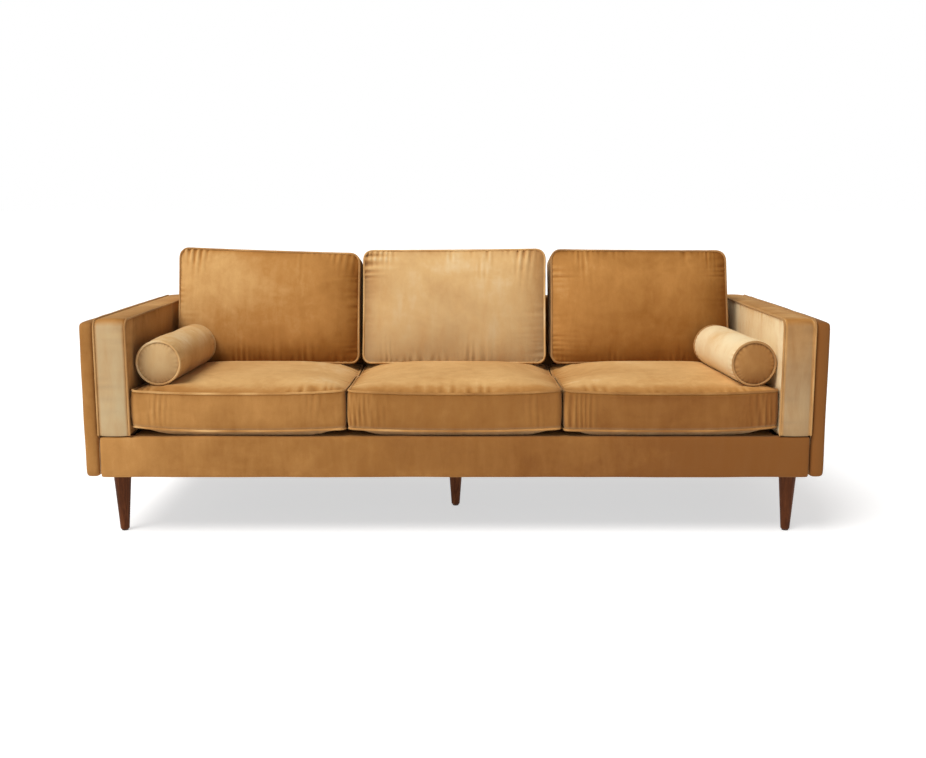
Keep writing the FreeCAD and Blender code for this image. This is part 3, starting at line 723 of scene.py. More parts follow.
# =============================================================== cloth simulation
SIM_FRAMES = 18
SPARE_CLOTH = 0.05  # how much the cloth grows where it is slack
CLOTH_CAP = 0.010  # how far a point may move
CLOTH_SETTINGS = {
    "quality": 4,
    "mass": 0.25,
    "tension_stiffness": 18,
    "compression_stiffness": 12,
    "shear_stiffness": 6,
    "bending_stiffness": 0.6,
    "tension_damping": 12,
    "compression_damping": 12,
    "shear_damping": 8,
    "air_damping": 4,
    "use_pressure": True,
    "uniform_pressure_force": 4.0,
    "vertex_group_mass": "pins",
    "vertex_group_shrink": "spare",
    "shrink_min": 0.0,
    "shrink_max": -SPARE_CLOTH,
}


def prepare_cloth(cushion):
    """Cloth that fills with air inside its pinned seams, with spare cloth near the seams."""
    piece, form = cushion.piece, cushion.form
    pins = piece.vertex_groups.new(name="pins")
    pins.add([int(i) for i in np.concatenate([form.seam_upper, form.seam_lower])], 1.0, "REPLACE")
    spare = piece.vertex_groups.new(name="spare")
    distance = np.stack(form.edge_distances()).min(0)
    weight = np.where(form.is_side, 0.5, np.exp(-np.clip(distance, 0, None) / 0.05))
    for level in np.unique(np.round(weight, 1)):
        ids = np.where(np.round(weight, 1) == level)[0]
        if level > 0:
            spare.add([int(i) for i in ids], float(level), "REPLACE")
    modifier = piece.modifiers.new("cloth", "CLOTH")
    for key, value in CLOTH_SETTINGS.items():
        setattr(modifier.settings, key, value)
    modifier.settings.effector_weights.gravity = 0.0
    modifier.collision_settings.use_collision = False
    modifier.point_cache.frame_start = 1
    modifier.point_cache.frame_end = SIM_FRAMES


def run_cloth(cushions):
    """Runs the cushions together, keeps each point near its start, and leaves plain meshes."""
    for cushion in cushions:
        prepare_cloth(cushion)
    pieces = [cushion.piece for cushion in cushions]
    start = {p.name: get_points(p.data) for p in pieces}
    for number in range(1, SIM_FRAMES + 1):
        bpy.context.scene.frame_set(number)
    depsgraph = bpy.context.evaluated_depsgraph_get()
    result = {}
    for piece in pieces:
        evaluated = piece.evaluated_get(depsgraph)
        mesh = evaluated.to_mesh()
        result[piece.name] = get_points(mesh)
        evaluated.to_mesh_clear()
    for piece in pieces:
        piece.modifiers.remove(piece.modifiers["cloth"])
        piece.vertex_groups.clear()
        shift = result[piece.name] - start[piece.name]
        length = np.linalg.norm(shift, axis=1)
        limit = CLOTH_CAP * np.tanh(length / CLOTH_CAP)
        shift *= (limit / np.maximum(length, 1e-9))[:, None]
        set_points(piece, start[piece.name] + shift)
    bpy.context.scene.frame_set(1)


# =============================================================== cushions
class Cushion:
    """A boxed cushion on its way from a grid to a finished piece. Its tone, which also carries painted
    light and shade, and its painted sheen are arrays.
    """

    def __init__(self, name, form, matrix, body, nap_and_painted_light, painted_sheen, seed):
        self.name, self.form, self.matrix = name, form, matrix
        self.body, self.seed = body, seed
        # painted light and shade on the creases: ridges paler, valleys darker
        nap_and_painted_light = nap_and_painted_light + CREASE_PAINTED_LIGHT * form.crease + LIGHT_PATCHES * waves(form.points, seed, 1.0, 4.0)
        attributes = {"nap_and_painted_light": nap_and_painted_light, "painted_sheen": painted_sheen, "seam": form.seam_nearness()}
        self.piece = make_object(name, form.points, form.faces, attributes)

    def finish(self, limit, fill):
        """limit keeps the finished points, in the row frame, inside the space the cushion has."""
        self.points = limit(moved(get_points(self.piece.data) + self.form.folds, self.matrix))
        set_points(self.piece, self.points)
        subdivided(self.piece)
        nodes = (f"{self.name}_cover", f"{self.name}_core")
        finish_piece(self.piece, self.body, VELVET, nodes)

    def add_piping(self, nap_and_painted_light, painted_sheen):
        loops = [self.points[self.form.seam_upper], self.points[self.form.seam_lower]]
        name = self.name.replace("cushion", "piping")
        piping_piece(name, loops, self.body, f"{self.name}_piping", nap_and_painted_light, self.seed, painted_sheen=painted_sheen)

    def zip_line(self, far):
        """The middle of the boxing on the far or near side, over the zip's length, in order of x."""
        row = self.form.rows[len(self.form.rows) // 2]
        edge = len(self.form.vs) - 1 if far else 0
        shown = self.form.ring_places[:, 1] == edge
        line = self.points[row[shown]]
        line = line[np.argsort(line[:, 0])]
        middle = (line[0, 0] + line[-1, 0]) / 2
        return line[np.abs(line[:, 0] - middle) < ZIP_LENGTH / 2]


def piping_piece(name, loops, body, node, nap_and_painted_light, seed, radius=PIPING_R, closed=True, painted_sheen=0.0):
    """Covered cord along the seams, a little uneven. Its tone, which also carries painted light, is a
    number or a function of points.
    """
    parts = []
    for loop in loops:
        path = smoothed_loop(loop, 0.007) if closed else loop
        parts.append(tube(path, radius, closed, seed))
    points, faces = joined(parts)
    tone = nap_and_painted_light(points) if callable(nap_and_painted_light) else np.full(len(points), nap_and_painted_light)
    values = tone + 0.10 * waves(points, seed, 3, 12)
    piece = make_object(name, points, faces, {"nap_and_painted_light": values, "painted_sheen": np.full(len(points), painted_sheen)})
    subdivided(piece)
    finish_piece(piece, body, VELVET, (node,))


def side_nap_and_painted_shade(x):
    """Tone of the seat boxing and the base, with painted shade that grows darker to the right, a falloff
    of the light from the left.
    """
    return NAP_SIDE + SIDE_PAINTED_SHADE_SLOPE * x


def even_strength(points):
    """Creases that are the same all round the boxing."""
    return np.full(len(points), 0.7)


def seam_heights(form, left, right, middle):
    """Heights along a seam: left and right at those corners, easing to middle between them."""
    loop = form.points[form.seam_upper]
    share = loop[:, 0] / (form.width / 2 - form.inset)
    centre = form.length / 2
    across = 1 - np.abs(share) ** 2.6
    along = 1 - np.abs((loop[:, 1] - centre) / (centre - form.inset)) ** 2.6
    corner = left + (right - left) * (share + 1) / 2
    return corner + (middle - corner) * np.clip(np.maximum(across, along), 0, 1)


SEAT_CORNERS = (0.018, 0.018, 0.030, 0.030)  # radii: near left, near right, far right, far left
SEAT_SEAM_TOP = 0.0085  # the top seam below the CAD top
SEAT_SEAM_LIFT = 0.0170  # the bottom seam above the deck
SEAT_CROWN = 0.0065  # the crown above the CAD top
SEAT_REAR_SAG = 0.016  # the side seams sink beside the back cushions
SEAT_SIDE_ROOM = 0.0003  # how far a seat cushion may stand out of its CAD box on each side
SEAT_PRESSED = 0.0004  # how far it gives below its CAD top under a cushion
# how far the bottom seam rises at the left and right corners
SEAT_BOTTOM_CORNERS = {"left": (0.013, 0.005), "middle": (0.006, 0.006), "right": (0.001, 0.011)}


def seat_form(name, seed):
    low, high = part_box(f"seat_cushion_{name}_cover")
    width, length = high.x - low.x, high.y - low.y
    thick = (high.z - SEAT_SEAM_TOP) - (low.z + SEAT_SEAM_LIFT)
    form = BoxedForm(width, length, thick, SEAT_CORNERS, PIPING_R, cell=0.012, fine=0.0045, band=0.12)
    loop = form.points[form.seam_upper]
    at_side = ease(np.abs(loop[:, 0]), width / 2 - 0.05, width / 2 - 0.015)
    sag = SEAT_REAR_SAG * at_side * ease(loop[:, 1], 0.28, 0.45)
    form.bend_seam(form.seam_upper, seam_heights(form, 0.003, 0.004, -0.006) - sag)
    left, right = SEAT_BOTTOM_CORNERS[name]
    form.bend_seam(form.seam_lower, seam_heights(form, left, right, -0.002))
    form.add_crown(form.is_upper, SEAT_SEAM_TOP + SEAT_CROWN + 0.004, 0.040, 1)
    form.add_crown(form.is_lower, SEAT_SEAM_LIFT + 0.006, 0.006, -1, corner=0.055)
    form.bulge_boxing(0.0030)
    form.add_puckers(form.is_upper, seed, spacing=0.028, reach=0.042, depth=0.0034, sign=1)
    form.add_puckers(form.is_lower, seed + 7, spacing=0.030, reach=0.030, depth=0.0020, sign=-1)

    def near_corners(points):
        return 0.12 + 1.1 * ease(np.abs(points[:, 0]), width / 2 - 0.13, width / 2 - 0.04)

    form.pucker_boxing(seed + 5, spacing=0.0170, depth=0.0125, strength=near_corners)
    return form


def make_seat_cushion(name, seed):
    form = seat_form(name, seed)
    low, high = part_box(f"seat_cushion_{name}_cover")
    origin = Vector(((low.x + high.x) / 2, low.y, high.z - SEAT_SEAM_TOP))
    x, y = form.points[:, 0], form.points[:, 1]
    # painted shade on the front roll of the top, and within 5 cm of its left and right seams
    top = NAP_SEAT_TOP + SEAT_FRONT_ROLL_PAINTED_SHADE * (1 - ease(y, 0.015, 0.085))
    top -= 0.10 * (1 - ease(form.width / 2 - np.abs(x), 0.0, 0.05))
    nap_and_painted_light = np.where(form.is_upper, top, side_nap_and_painted_shade(x + origin.x))
    painted_sheen = np.where(form.is_lower, 0.4, np.where(form.is_side, PAINTED_SHEEN_SIDE, 0.0))
    matrix = Matrix.Translation(origin)
    return Cushion(f"seat_cushion_{name}", form, matrix, f"seat_{name}", nap_and_painted_light, painted_sheen, seed)


def seat_limit(name):
    """The seat cushion stays on the deck, between its neighbours, and under what lies on it."""
    low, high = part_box(f"seat_cushion_{name}_cover")
    back_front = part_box(f"back_cushion_{name}_cover")[0].y
    pressed = high.z - SEAT_PRESSED
    free_height = 0.02

    def limit(points):
        points = points.copy()
        points[:, 2] = np.maximum(points[:, 2], low.z)
        points[:, 0] = np.clip(points[:, 0], low.x - SEAT_SIDE_ROOM, high.x + SEAT_SIDE_ROOM)
        points[:, 1] = np.clip(points[:, 1], low.y - 0.009, high.y + 0.004)
        under = ease(points[:, 1], back_front - 0.045, back_front + 0.004)
        ceiling = pressed + (1 - under) * free_height
        points[:, 2] = np.minimum(points[:, 2], ceiling)
        if name in BOLSTER_TURN:
            axis_x, axis_z, radius, y0, y1 = bolster_axis(name)
            gap = np.abs(points[:, 0] - axis_x(points[:, 1]))
            within = ease(points[:, 1], y0 - 0.03, y0) * (1 - ease(points[:, 1], y1, y1 + 0.03))
            hollow = axis_z - np.sqrt(np.clip((radius + 0.001) ** 2 - gap**2, 0, None))
            near = (gap < radius * 0.8) & (points[:, 2] > axis_z - 1.5 * radius)
            ceiling = np.maximum(hollow, pressed) + (1 - within) * free_height
            points[:, 2] = np.where(near, np.minimum(points[:, 2], ceiling), points[:, 2])
        return points

    return limit


BACK_CORNERS = (0.032, 0.032, 0.034, 0.034)
BACK_SEAM_DROP = 0.006  # the seams lie this far inside the CAD front and back faces
BACK_CROWN = 0.028
# for each of these pairs: at the left, at the right
BACK_TOP_SHIFT = {"left": (0.009, -0.012), "middle": (-0.001, 0.004), "right": (0.002, -0.002)}
BACK_SIDE_LEAN = {"left": (0.002, 0.002), "middle": (0.001, 0.001), "right": (0.0, -0.010)}
# how far the filled cushions spread to the left and right of their CAD covers, at most up to
# the seat cushion they stand on, so that the next seat cushion can lift past them
BACK_SPREAD = {"left": (0.0, 0.007), "middle": (-0.002, 0.014), "right": (-0.002, 0.0)}
# strength of the creases from the left, bottom, right and top seams
BACK_PUCKERS = {
    "left": (0.7, 1.1, 0.9, 1.4),
    "middle": (1.3, 1.5, 0.7, 1.1),
    "right": (0.6, 1.1, 0.5, 0.8),
}


def back_nap_and_painted_light(name, form):
    """Tone with painted light and shade: paler towards the top, a painted highlight on the left edge,
    painted shade at the foot and the right edge, and a little darker along the top seam. The middle
    cushion gets painted shade at its left edge in place of the highlight."""
    left, near, right, far = (np.clip(d, 0, None) for d in form.edge_distances())
    rise = 0.02 if name == "right" else 0.12
    left_edge_painted_light = -0.46 if name == "middle" else 0.12
    # painted light from the upper left, painted shade at the foot and the right edge
    tone = NAP_BACK[name] + rise * (form.points[:, 1] / form.length - 0.55)
    tone += BACK_FOOT_PAINTED_SHADE[name] * np.exp(-((near / 0.055) ** 1.5))
    tone -= 0.46 * np.exp(-right / 0.050)
    tone += left_edge_painted_light * np.exp(-left / 0.026)
    tone -= 0.06 * np.exp(-far / 0.02)
    return tone


def back_form(width, length, thick, name, seed):
    form = BoxedForm(width, length, thick, BACK_CORNERS, PIPING_R - 0.001, cell=0.009, fine=0.0055,
                     band=0.10, slope=math.tan(LEAN), waist=(0.002, 0.002))
    form.add_crown(form.is_upper, BACK_CROWN, 0.050, 1)
    form.add_crown(form.is_lower, BACK_SEAM_DROP, 0.030, -1)
    form.bulge_boxing(PIPING_R)
    form.add_puckers(form.is_upper, seed, spacing=0.019, reach=0.050, depth=0.0105, sign=1,
                     sides=BACK_PUCKERS[name])
    form.add_puckers(form.is_lower, seed + 3, spacing=0.034, reach=0.050, depth=0.0020, sign=-1)
    form.pucker_boxing(seed + 5, spacing=0.026, depth=0.0026, strength=even_strength)
    return form


def make_back_cushion(name, seed):
    low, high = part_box(f"back_cushion_{name}_cover")
    spread_left, spread_right = BACK_SPREAD[name]
    left_x, right_x = low.x - spread_left, high.x + spread_right
    width = right_x - left_x
    length = (high.z - low.z) / math.cos(LEAN) + 0.002
    thick = (high.y - low.y - length * math.sin(LEAN)) / math.cos(LEAN)
    form = back_form(width, length, thick - 2 * BACK_SEAM_DROP, name, seed)
    nap_and_painted_light = back_nap_and_painted_light(name, form)
    left_shift, right_shift = BACK_TOP_SHIFT[name]
    left_lean, right_lean = BACK_SIDE_LEAN[name]
    share = form.points[:, 0] / width + 0.5
    rise = form.points[:, 1] / length
    form.points[:, 0] += (left_lean + (right_lean - left_lean) * share) * rise
    form.points[:, 1] += (left_shift + (right_shift - left_shift) * share) * rise
    front = Vector((0, -math.cos(LEAN), math.sin(LEAN)))
    origin = Vector(((left_x + right_x) / 2, low.y, low.z)) - front * BACK_SEAM_DROP
    matrix = Matrix.Translation(origin) @ Matrix.Rotation(math.pi / 2 - LEAN, 4, "X")
    # painted sheen, strongest at the foot
    painted_sheen = PAINTED_SHEEN_BACK[name] * (1 - 0.65 * rise)
    return Cushion(f"back_cushion_{name}", form, matrix, f"back_{name}", nap_and_painted_light, painted_sheen, seed)


def back_limit(name, form):
    """The back cushion stands flat on the seat, with a pocket for its zip, and stays off the
    inside back and the arms."""
    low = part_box(f"back_cushion_{name}_cover")[0]
    wall_low, wall_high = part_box("inside_back_cover")
    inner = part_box("arm_cover_right")[0].x - BACK_CLEARANCE
    slope = math.tan(LEAN)
    seat_low, seat_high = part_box(f"seat_cushion_{name}_cover")
    left_end = max(seat_low.x, -inner)
    right_end = min(seat_high.x, inner)
    floor = low.z + ZIP_POCKET * form.zip_pocket()
    for seam in (form.seam_upper, form.seam_lower):
        floor[seam] = low.z + PIPING_R * 1.06

    def limit(points):
        points = points.copy()
        points[:, 2] = np.maximum(points[:, 2], floor)
        points[:, 0] = np.clip(points[:, 0], left_end, right_end)
        wall = wall_low.y + slope * (points[:, 2] - wall_low.z) - WALL_CLEARANCE
        behind = points[:, 2] < wall_high.z + 0.004
        points[:, 1] = np.where(behind, np.minimum(points[:, 1], wall), points[:, 1])
        return points

    return limit


# =============================================================== zips
# across the tape and out of it
TAPE_PROFILE = ((-0.0130, -0.0004), (-0.0125, 0.0010), (-0.0040, 0.0016), (-0.0022, 0.0009),
                (0.0022, 0.0009), (0.0040, 0.0016), (0.0125, 0.0010), (0.0130, -0.0004))
TAPE_STEPS = 90
TOOTH = (0.0020, 0.0034, 0.0014)
TOOTH_PITCH = 0.0026
# parts of the slider: size, place out of the tape, place along it
SLIDER_PARTS = (
    ((0.0100, 0.0075, 0.0028), 0.0026, 0.006),
    ((0.0050, 0.0030, 0.0016), 0.0044, 0.008),
    ((0.0220, 0.0055, 0.0012), 0.0038, 0.0235),
)
BRICK_CORNERS = [(x, y, z) for z in (-1, 1) for x, y in ((-1, -1), (1, -1), (1, 1), (-1, 1))]
BRICK_FACES = [[3, 2, 1, 0], [4, 5, 6, 7], [0, 1, 5, 4], [1, 2, 6, 5], [2, 3, 7, 6], [3, 0, 4, 7]]
BRICK_TAPER = 0.72


def brick(centre, axes, size):
    """A block with its outer face smaller than its inner one."""
    corners = []
    for signs in BRICK_CORNERS:
        taper = BRICK_TAPER if signs[2] > 0 else 1.0
        half = np.array(size) / 2 * signs * (taper, taper, 1.0)
        corners.append(centre + half @ axes)
    return np.array(corners), BRICK_FACES


def make_tape(path, up, outward, body):
    count = len(path)
    points = np.concatenate([path + up * a + outward * b for a, b in TAPE_PROFILE])
    sides = len(TAPE_PROFILE)
    faces = []
    for k in range(sides):
        after = (k + 1) % sides
        for i in range(count - 1):
            faces.append([k * count + i, k * count + i + 1, after * count + i + 1, after * count + i])
    faces.append([k * count for k in range(sides)])
    faces.append([k * count + count - 1 for k in reversed(range(sides))])
    tape = make_object(f"zip_tape_{body}", points, faces, {"nap_and_painted_light": np.full(len(points), 0.22)})
    finish_piece(tape, body, VELVET)


def make_zip(line, outward, body):
    """Two tapes, a row of teeth between them, and a slider at one end."""
    outward = np.array(outward, float)
    outward /= np.linalg.norm(outward)
    start, end = line[0], line[-1]
    run = (end - start) / np.linalg.norm(end - start)
    up = np.cross(outward, run)
    axes = np.stack([run, up, outward])
    along = np.linalg.norm(line - start, axis=1)

    def place(at):
        return np.stack([np.interp(at, along, line[:, k]) for k in range(3)], axis=-1)

    make_tape(place(np.linspace(0, 1, TAPE_STEPS) * along[-1]), up, outward, body)
    teeth = []
    for i in range(int(along[-1] / TOOTH_PITCH)):
        side = 1 if i % 2 else -1
        centre = place(i * TOOTH_PITCH + TOOTH_PITCH / 2) + outward * 0.0014
        teeth.append(brick(centre + up * side * 0.0007, axes, TOOTH))
    finish_piece(make_object(f"zip_teeth_{body}", *joined(teeth)), body, ZIP_TEETH)
    parts = [brick(start + outward * out + run * ahead, axes, size) for size, out, ahead in SLIDER_PARTS]
    slider = make_object(f"zip_slider_{body}", *joined(parts))
    bevel = slider.modifiers.new("bevel", "BEVEL")
    bevel.width = 0.0005
    bevel.segments = 2
    finish_piece(slider, body, BRASS)


# =============================================================== bolsters
def bolster_axis(name):
    """The bolster's axis as functions of y, with its height, radius and ends."""
    low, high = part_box(f"bolster_{name}_cover")
    radius = (high.z - low.z) / 2
    turn = BOLSTER_TURN[name]
    length = (high.y - low.y - 2 * radius * abs(math.sin(turn))) / math.cos(turn)
    middle = Vector(((low.x + high.x) / 2, (low.y + high.y) / 2, (low.z + high.z) / 2))
    half = length / 2 * math.cos(turn)

    def axis_x(y):
        return middle.x - (y - middle.y) * math.tan(turn)

    return axis_x, middle.z, radius, middle.y - half, middle.y + half


def bolster_profile(radius, length):
    """(place along the axis, radius, part) from the middle of one end to the middle of the other.
    part is 0 on an end disc, which bulges out of its ring of piping, and 1 on the body."""
    seam = radius - PIPING_R
    rings = []
    for t in np.linspace(0, 1, 18):
        dome = 0.015 * (1 - t**2.8)
        rings.append((PIPING_R + 0.003 - dome, max((seam - 0.0012) * t, 0.0004), 0.0))
    body = []
    for t in np.linspace(0, 1, 52)[1:-1]:
        end = min(t, 1 - t) * length
        swell = PIPING_R * (1 - math.exp(-end / 0.010))
        swell -= 0.0015 * math.exp(-(((end - 0.02) / 0.02) ** 2))
        body.append((PIPING_R + t * (length - 2 * PIPING_R), seam + swell, 1.0))
    far = [(length - y, r, part) for y, r, part in rings[::-1]]
    return rings + body + far


BOLSTER_NAP_AND_PAINTED_LIGHT = {"left": (0.66, 0.66), "right": (0.96, 0.33)}  # body and ends; the left body's tone is lifted as painted light against the arm's shade
# painted sheen of the body and the ends
BOLSTER_PAINTED_SHEEN = {"left": (0.0, 0.50), "right": (0.15, 0.12)}
BOLSTER_TOP_PAINTED_HIGHLIGHT = {"left": 0.14, "right": 0.0}  # painted highlight along the top of the body, and painted shade along its underside
BOLSTER_SIDES = 112
BOLSTER_ZIP_HALF = ZIP_LENGTH / 3


def end_gathers(around, share, seed):
    """Spokes on the end discs, and how strong they are: most just inside the ring of piping."""
    phase = around * 12 + 1.6 * np.sin(around * 2 + seed) + 1.1 * np.sin(5 * around)
    return np.abs(np.sin(phase)) - 0.6, np.exp(-((share - 0.84) / 0.12) ** 2)


def ring_faces(rows, sides):
    """Faces of a closed form of rings, with a flat face on each end."""
    faces = []
    for i in range(rows - 1):
        for a in range(sides):
            b = (a + 1) % sides
            faces.append([i * sides + a, (i + 1) * sides + a, (i + 1) * sides + b, i * sides + b])
    faces.append(list(range(sides)))
    faces.append([(rows - 1) * sides + a for a in range(sides)][::-1])
    return faces


def bolster_surface(y, r, around, is_body, radius, length, seed):
    """Points round the bolster's own axis, and the painted light and shade of their creases."""
    points = np.column_stack([r * np.cos(around), y, r * np.sin(around)])
    # gathers and soft dents in the end discs
    share = r / radius
    spoke, rim = end_gathers(around, share, seed)
    uneven = 0.6 + 0.5 * np.sin(around * 2 + seed * 1.3) * np.sin(around * 3 + 0.7)
    gather = 0.0019 * spoke * uneven * rim
    dent = 0.0020 * waves(points, seed + 9, 5, 14) * (1 - share**2)
    outward = np.where(y < length / 2, -1.0, 1.0)
    points[:, 1] += np.where(is_body, 0, outward * (gather + dent))
    # short creases on the body beside each ring, and a slight unevenness along it
    end = np.minimum(y, length - y)
    crease = puckers(around * radius, end, seed + 5, spacing=0.017, reach=0.034)
    drift = waves(points, seed, 2, 7)
    grow = np.where(is_body, 0.0026 * crease + 0.0016 * drift * ease(end, 0.0, 0.05), 0)
    points[:, 0] += grow * np.cos(around)
    points[:, 2] += grow * np.sin(around)
    return points, np.where(is_body, crease, spoke * rim * 0.5)


def bolster_attributes(name, points, y, r, around, is_body, tone, radius, length, seed):
    body_nap_and_painted_light, end_nap = BOLSTER_NAP_AND_PAINTED_LIGHT[name]
    nap_and_painted_light = np.where(is_body, body_nap_and_painted_light, end_nap) + LIGHT_PATCHES * waves(points, seed, 3, 9)
    # painted highlight on the top of the body, painted shade beneath
    nap_and_painted_light += BOLSTER_TOP_PAINTED_HIGHLIGHT[name] * np.where(is_body, np.sin(around + 0.3), 0)
    # painted light and shade on the creases and gathers
    nap_and_painted_light += CREASE_PAINTED_LIGHT * tone
    end = np.minimum(y, length - y)
    # where the velvet gets painted shade, beside the rings
    seam = np.exp(-np.abs(r - radius + PIPING_R) / 0.006) * np.exp(-end / 0.012)
    return {"nap_and_painted_light": nap_and_painted_light, "painted_sheen": np.where(is_body, *BOLSTER_PAINTED_SHEEN[name]), "seam": seam}


def bolster_rings(radius, length, place):
    """The two seams of piping."""
    angle = 2 * math.pi * np.arange(BOLSTER_SIDES) / BOLSTER_SIDES
    ring = radius - PIPING_R
    loops = []
    for y in (PIPING_R, length - PIPING_R):
        circle = np.column_stack([ring * np.cos(angle), np.full(BOLSTER_SIDES, y), ring * np.sin(angle)])
        loops.append(moved(circle, place))
    return loops


def make_bolster(name, seed):
    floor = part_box(f"bolster_{name}_cover")[0].z
    axis_x, axis_z, radius, y0, y1 = bolster_axis(name)
    turn = BOLSTER_TURN[name]
    length = (y1 - y0) / math.cos(turn)
    place = Matrix.Translation(Vector((axis_x(y0), y0, axis_z))) @ Matrix.Rotation(turn, 4, "Z")
    profile = np.array(bolster_profile(radius, length))
    around = np.tile(2 * math.pi * np.arange(BOLSTER_SIDES) / BOLSTER_SIDES, len(profile))
    y, r, part = (np.repeat(profile[:, k], BOLSTER_SIDES) for k in range(3))
    is_body = part > 0.5
    points, tone = bolster_surface(y, r, around, is_body, radius, length, seed)
    points = moved(points, place)
    # flat where it lies on the seat, with a pocket for the zip
    recess = zip_recess(y - length / 2, BOLSTER_ZIP_HALF, np.cos(around) * radius)
    points[:, 2] = np.maximum(points[:, 2], floor + ZIP_POCKET * recess * (np.sin(around) < 0))
    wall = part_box("arm_cover_right")[0].x - ARM_CLEARANCE
    points[:, 0] = np.clip(points[:, 0], -wall, wall)
    attributes = bolster_attributes(name, points, y, r, around, is_body, tone, radius, length, seed)
    body = f"bolster_{name}"
    piece = make_object(body, points, ring_faces(len(profile), BOLSTER_SIDES), attributes)
    subdivided(piece)
    finish_piece(piece, body, VELVET, (f"bolster_{name}_cover", f"bolster_{name}_core"))
    piping_piece(f"bolster_piping_{name}", bolster_rings(radius, length, place), body,
                 f"bolster_{name}_piping", BOLSTER_NAP_AND_PAINTED_LIGHT[name][1] + 0.04, seed, painted_sheen=0.25)
    zip_ys = np.linspace(length / 2 - BOLSTER_ZIP_HALF, length / 2 + BOLSTER_ZIP_HALF, 12)
    line = moved(np.array([(0, at, 0) for at in zip_ys]), place)
    line[:, 2] = floor + ZIP_POCKET
    make_zip(line, (0, 0, -1), body)


# =============================================================== fixed upholstery
# inner faces: the left one, facing away from the light, painted dark, and the right one, facing it,
# painted pale
ARM_INNER_NAP_AND_PAINTED_LIGHT = {"left": 0.43, "right": 0.97}
ARM_TOP_NAP = {"left": 0.46, "right": 0.50}
# nap and painted sheen of the front of each arm: low down, and the change up to the top
ARM_FRONT = {"left": ((0.48, 0.0), (0.88, -0.14)), "right": ((0.14, 0.16), (0.54, -0.26))}
ARM_CORNERS = (0.006, 0.006, 0.012, 0.028)  # low front, low back, top back, top front


def arm_form(width, length, thick, edge, seed):
    form = BoxedForm(width, length, thick, ARM_CORNERS, edge, cell=0.012, fine=0.008, band=0.10)
    form.add_crown(form.is_upper, 0.0014, 0.05, 1)
    form.add_crown(form.is_lower, 0.0010, 0.05, -1)
    form.bulge_boxing(0.0040)
    form.add_puckers(form.is_upper, seed, spacing=0.045, reach=0.045, depth=0.0010, sign=1)
    form.pucker_boxing(seed + 5, spacing=0.04, depth=0.0014, strength=even_strength)
    return form


def arm_tones(side, form, world, low, high):
    """Nap and painted sheen of an arm: its faces, with painted light and shade on the inner ones, and the
    band over its front and top.
    """
    facing_up = ease(form.side_normal[:, 1], 0.25, 0.9)
    height = ease(world[:, 2], low.z + 0.10, high.z - 0.03)
    nap_and_painted_light, painted_sheen = (base + change * height for base, change in ARM_FRONT[side])
    band = nap_and_painted_light * (1 - facing_up) + ARM_TOP_NAP[side] * facing_up
    nap_and_painted_light = np.where(form.is_side, band, ARM_INNER_NAP_AND_PAINTED_LIGHT[side])
    return nap_and_painted_light, np.where(form.is_side, painted_sheen * (1 - facing_up), 0.0)


def shown_seam(line, low, high):
    """The part of an arm's seam that is clear of the base and the back, from the foot of the
    arm's front."""
    shown = (line[:, 2] > low.z + 0.003) & (line[:, 1] < high.y - 0.003)
    ids = np.where(shown)[0]
    start = np.argmax(np.diff(np.concatenate([[ids[-1] - len(line)], ids])))
    run = line[np.concatenate([ids[start:], ids[:start]])]
    if run[0, 1] > run[-1, 1]:
        run = run[::-1]
    foot = np.array([run[0, 0], run[0, 1], low.z + 0.001])
    return np.vstack([foot, run])


def make_arm(side, seed):
    """An arm is a boxed form on its side: its inner face is the upper panel, and the band over
    its front and top is the boxing."""
    sign = -1 if side == "left" else 1
    low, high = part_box(f"arm_cover_{side}")
    edge = ARM_PIPING_R * 0.5
    form = arm_form(high.y - low.y, high.z - low.z, high.x - low.x - 2 * edge, edge, seed)
    points = form.points + form.folds
    inner_x = high.x if side == "left" else low.x
    world = np.column_stack([
        inner_x - sign * (points[:, 2] - edge),
        points[:, 0] + (low.y + high.y) / 2,
        points[:, 1] + low.z,
    ])
    world[:, 2] = np.maximum(world[:, 2], low.z)
    world[:, 1] = np.minimum(world[:, 1], high.y)
    nap_and_painted_light, painted_sheen = arm_tones(side, form, world, low, high)
    # painted light and shade on the creases: ridges paler, valleys darker
    nap_and_painted_light = nap_and_painted_light + LIGHT_PATCHES * waves(world, seed, 2, 6) + CREASE_PAINTED_LIGHT * form.crease
    attributes = {"nap_and_painted_light": nap_and_painted_light, "painted_sheen": painted_sheen, "seam": form.seam_nearness()}
    faces = form.faces if side == "left" else form.faces[:, ::-1]
    piece = make_object(f"arm_{side}", world, faces, attributes)
    subdivided(piece)
    finish_piece(piece, "frame", VELVET, (f"arm_cover_{side}",))

    def piping_nap(points):
        return 0.38 + 0.08 * (1 - ease(points[:, 2], low.z + 0.2, high.z))

    lines = [shown_seam(world[loop], low, high) for loop in (form.seam_upper, form.seam_lower)]
    piping_piece(f"arm_edge_piping_{side}", lines, "frame", f"arm_piping_{side}", piping_nap, seed,
                 ARM_PIPING_R, closed=False, painted_sheen=0.2)


FLAT = (0.0, 0.0, 0.0)


def make_padded_slab(name, nodes, box, radius, nap_and_painted_light, seed, pillow=FLAT, shear=None):
    """A fixed panel of velvet over padding. Its tone, which also carries painted light, is a number or a
    function of points.
    """
    points, faces = soft_slab(*box, radius, PANEL_CELL, pillow, seed, shear)
    tone = nap_and_painted_light(points) if callable(nap_and_painted_light) else np.full(len(points), nap_and_painted_light)
    tone = tone + LIGHT_PATCHES * waves(points, seed, 1, 4)
    painted_sheen = np.full(len(points), PAINTED_SHEEN_SIDE)
    piece = make_object(name, points, faces, {"nap_and_painted_light": tone, "painted_sheen": painted_sheen})
    subdivided(piece)
    finish_piece(piece, "frame", VELVET, nodes)


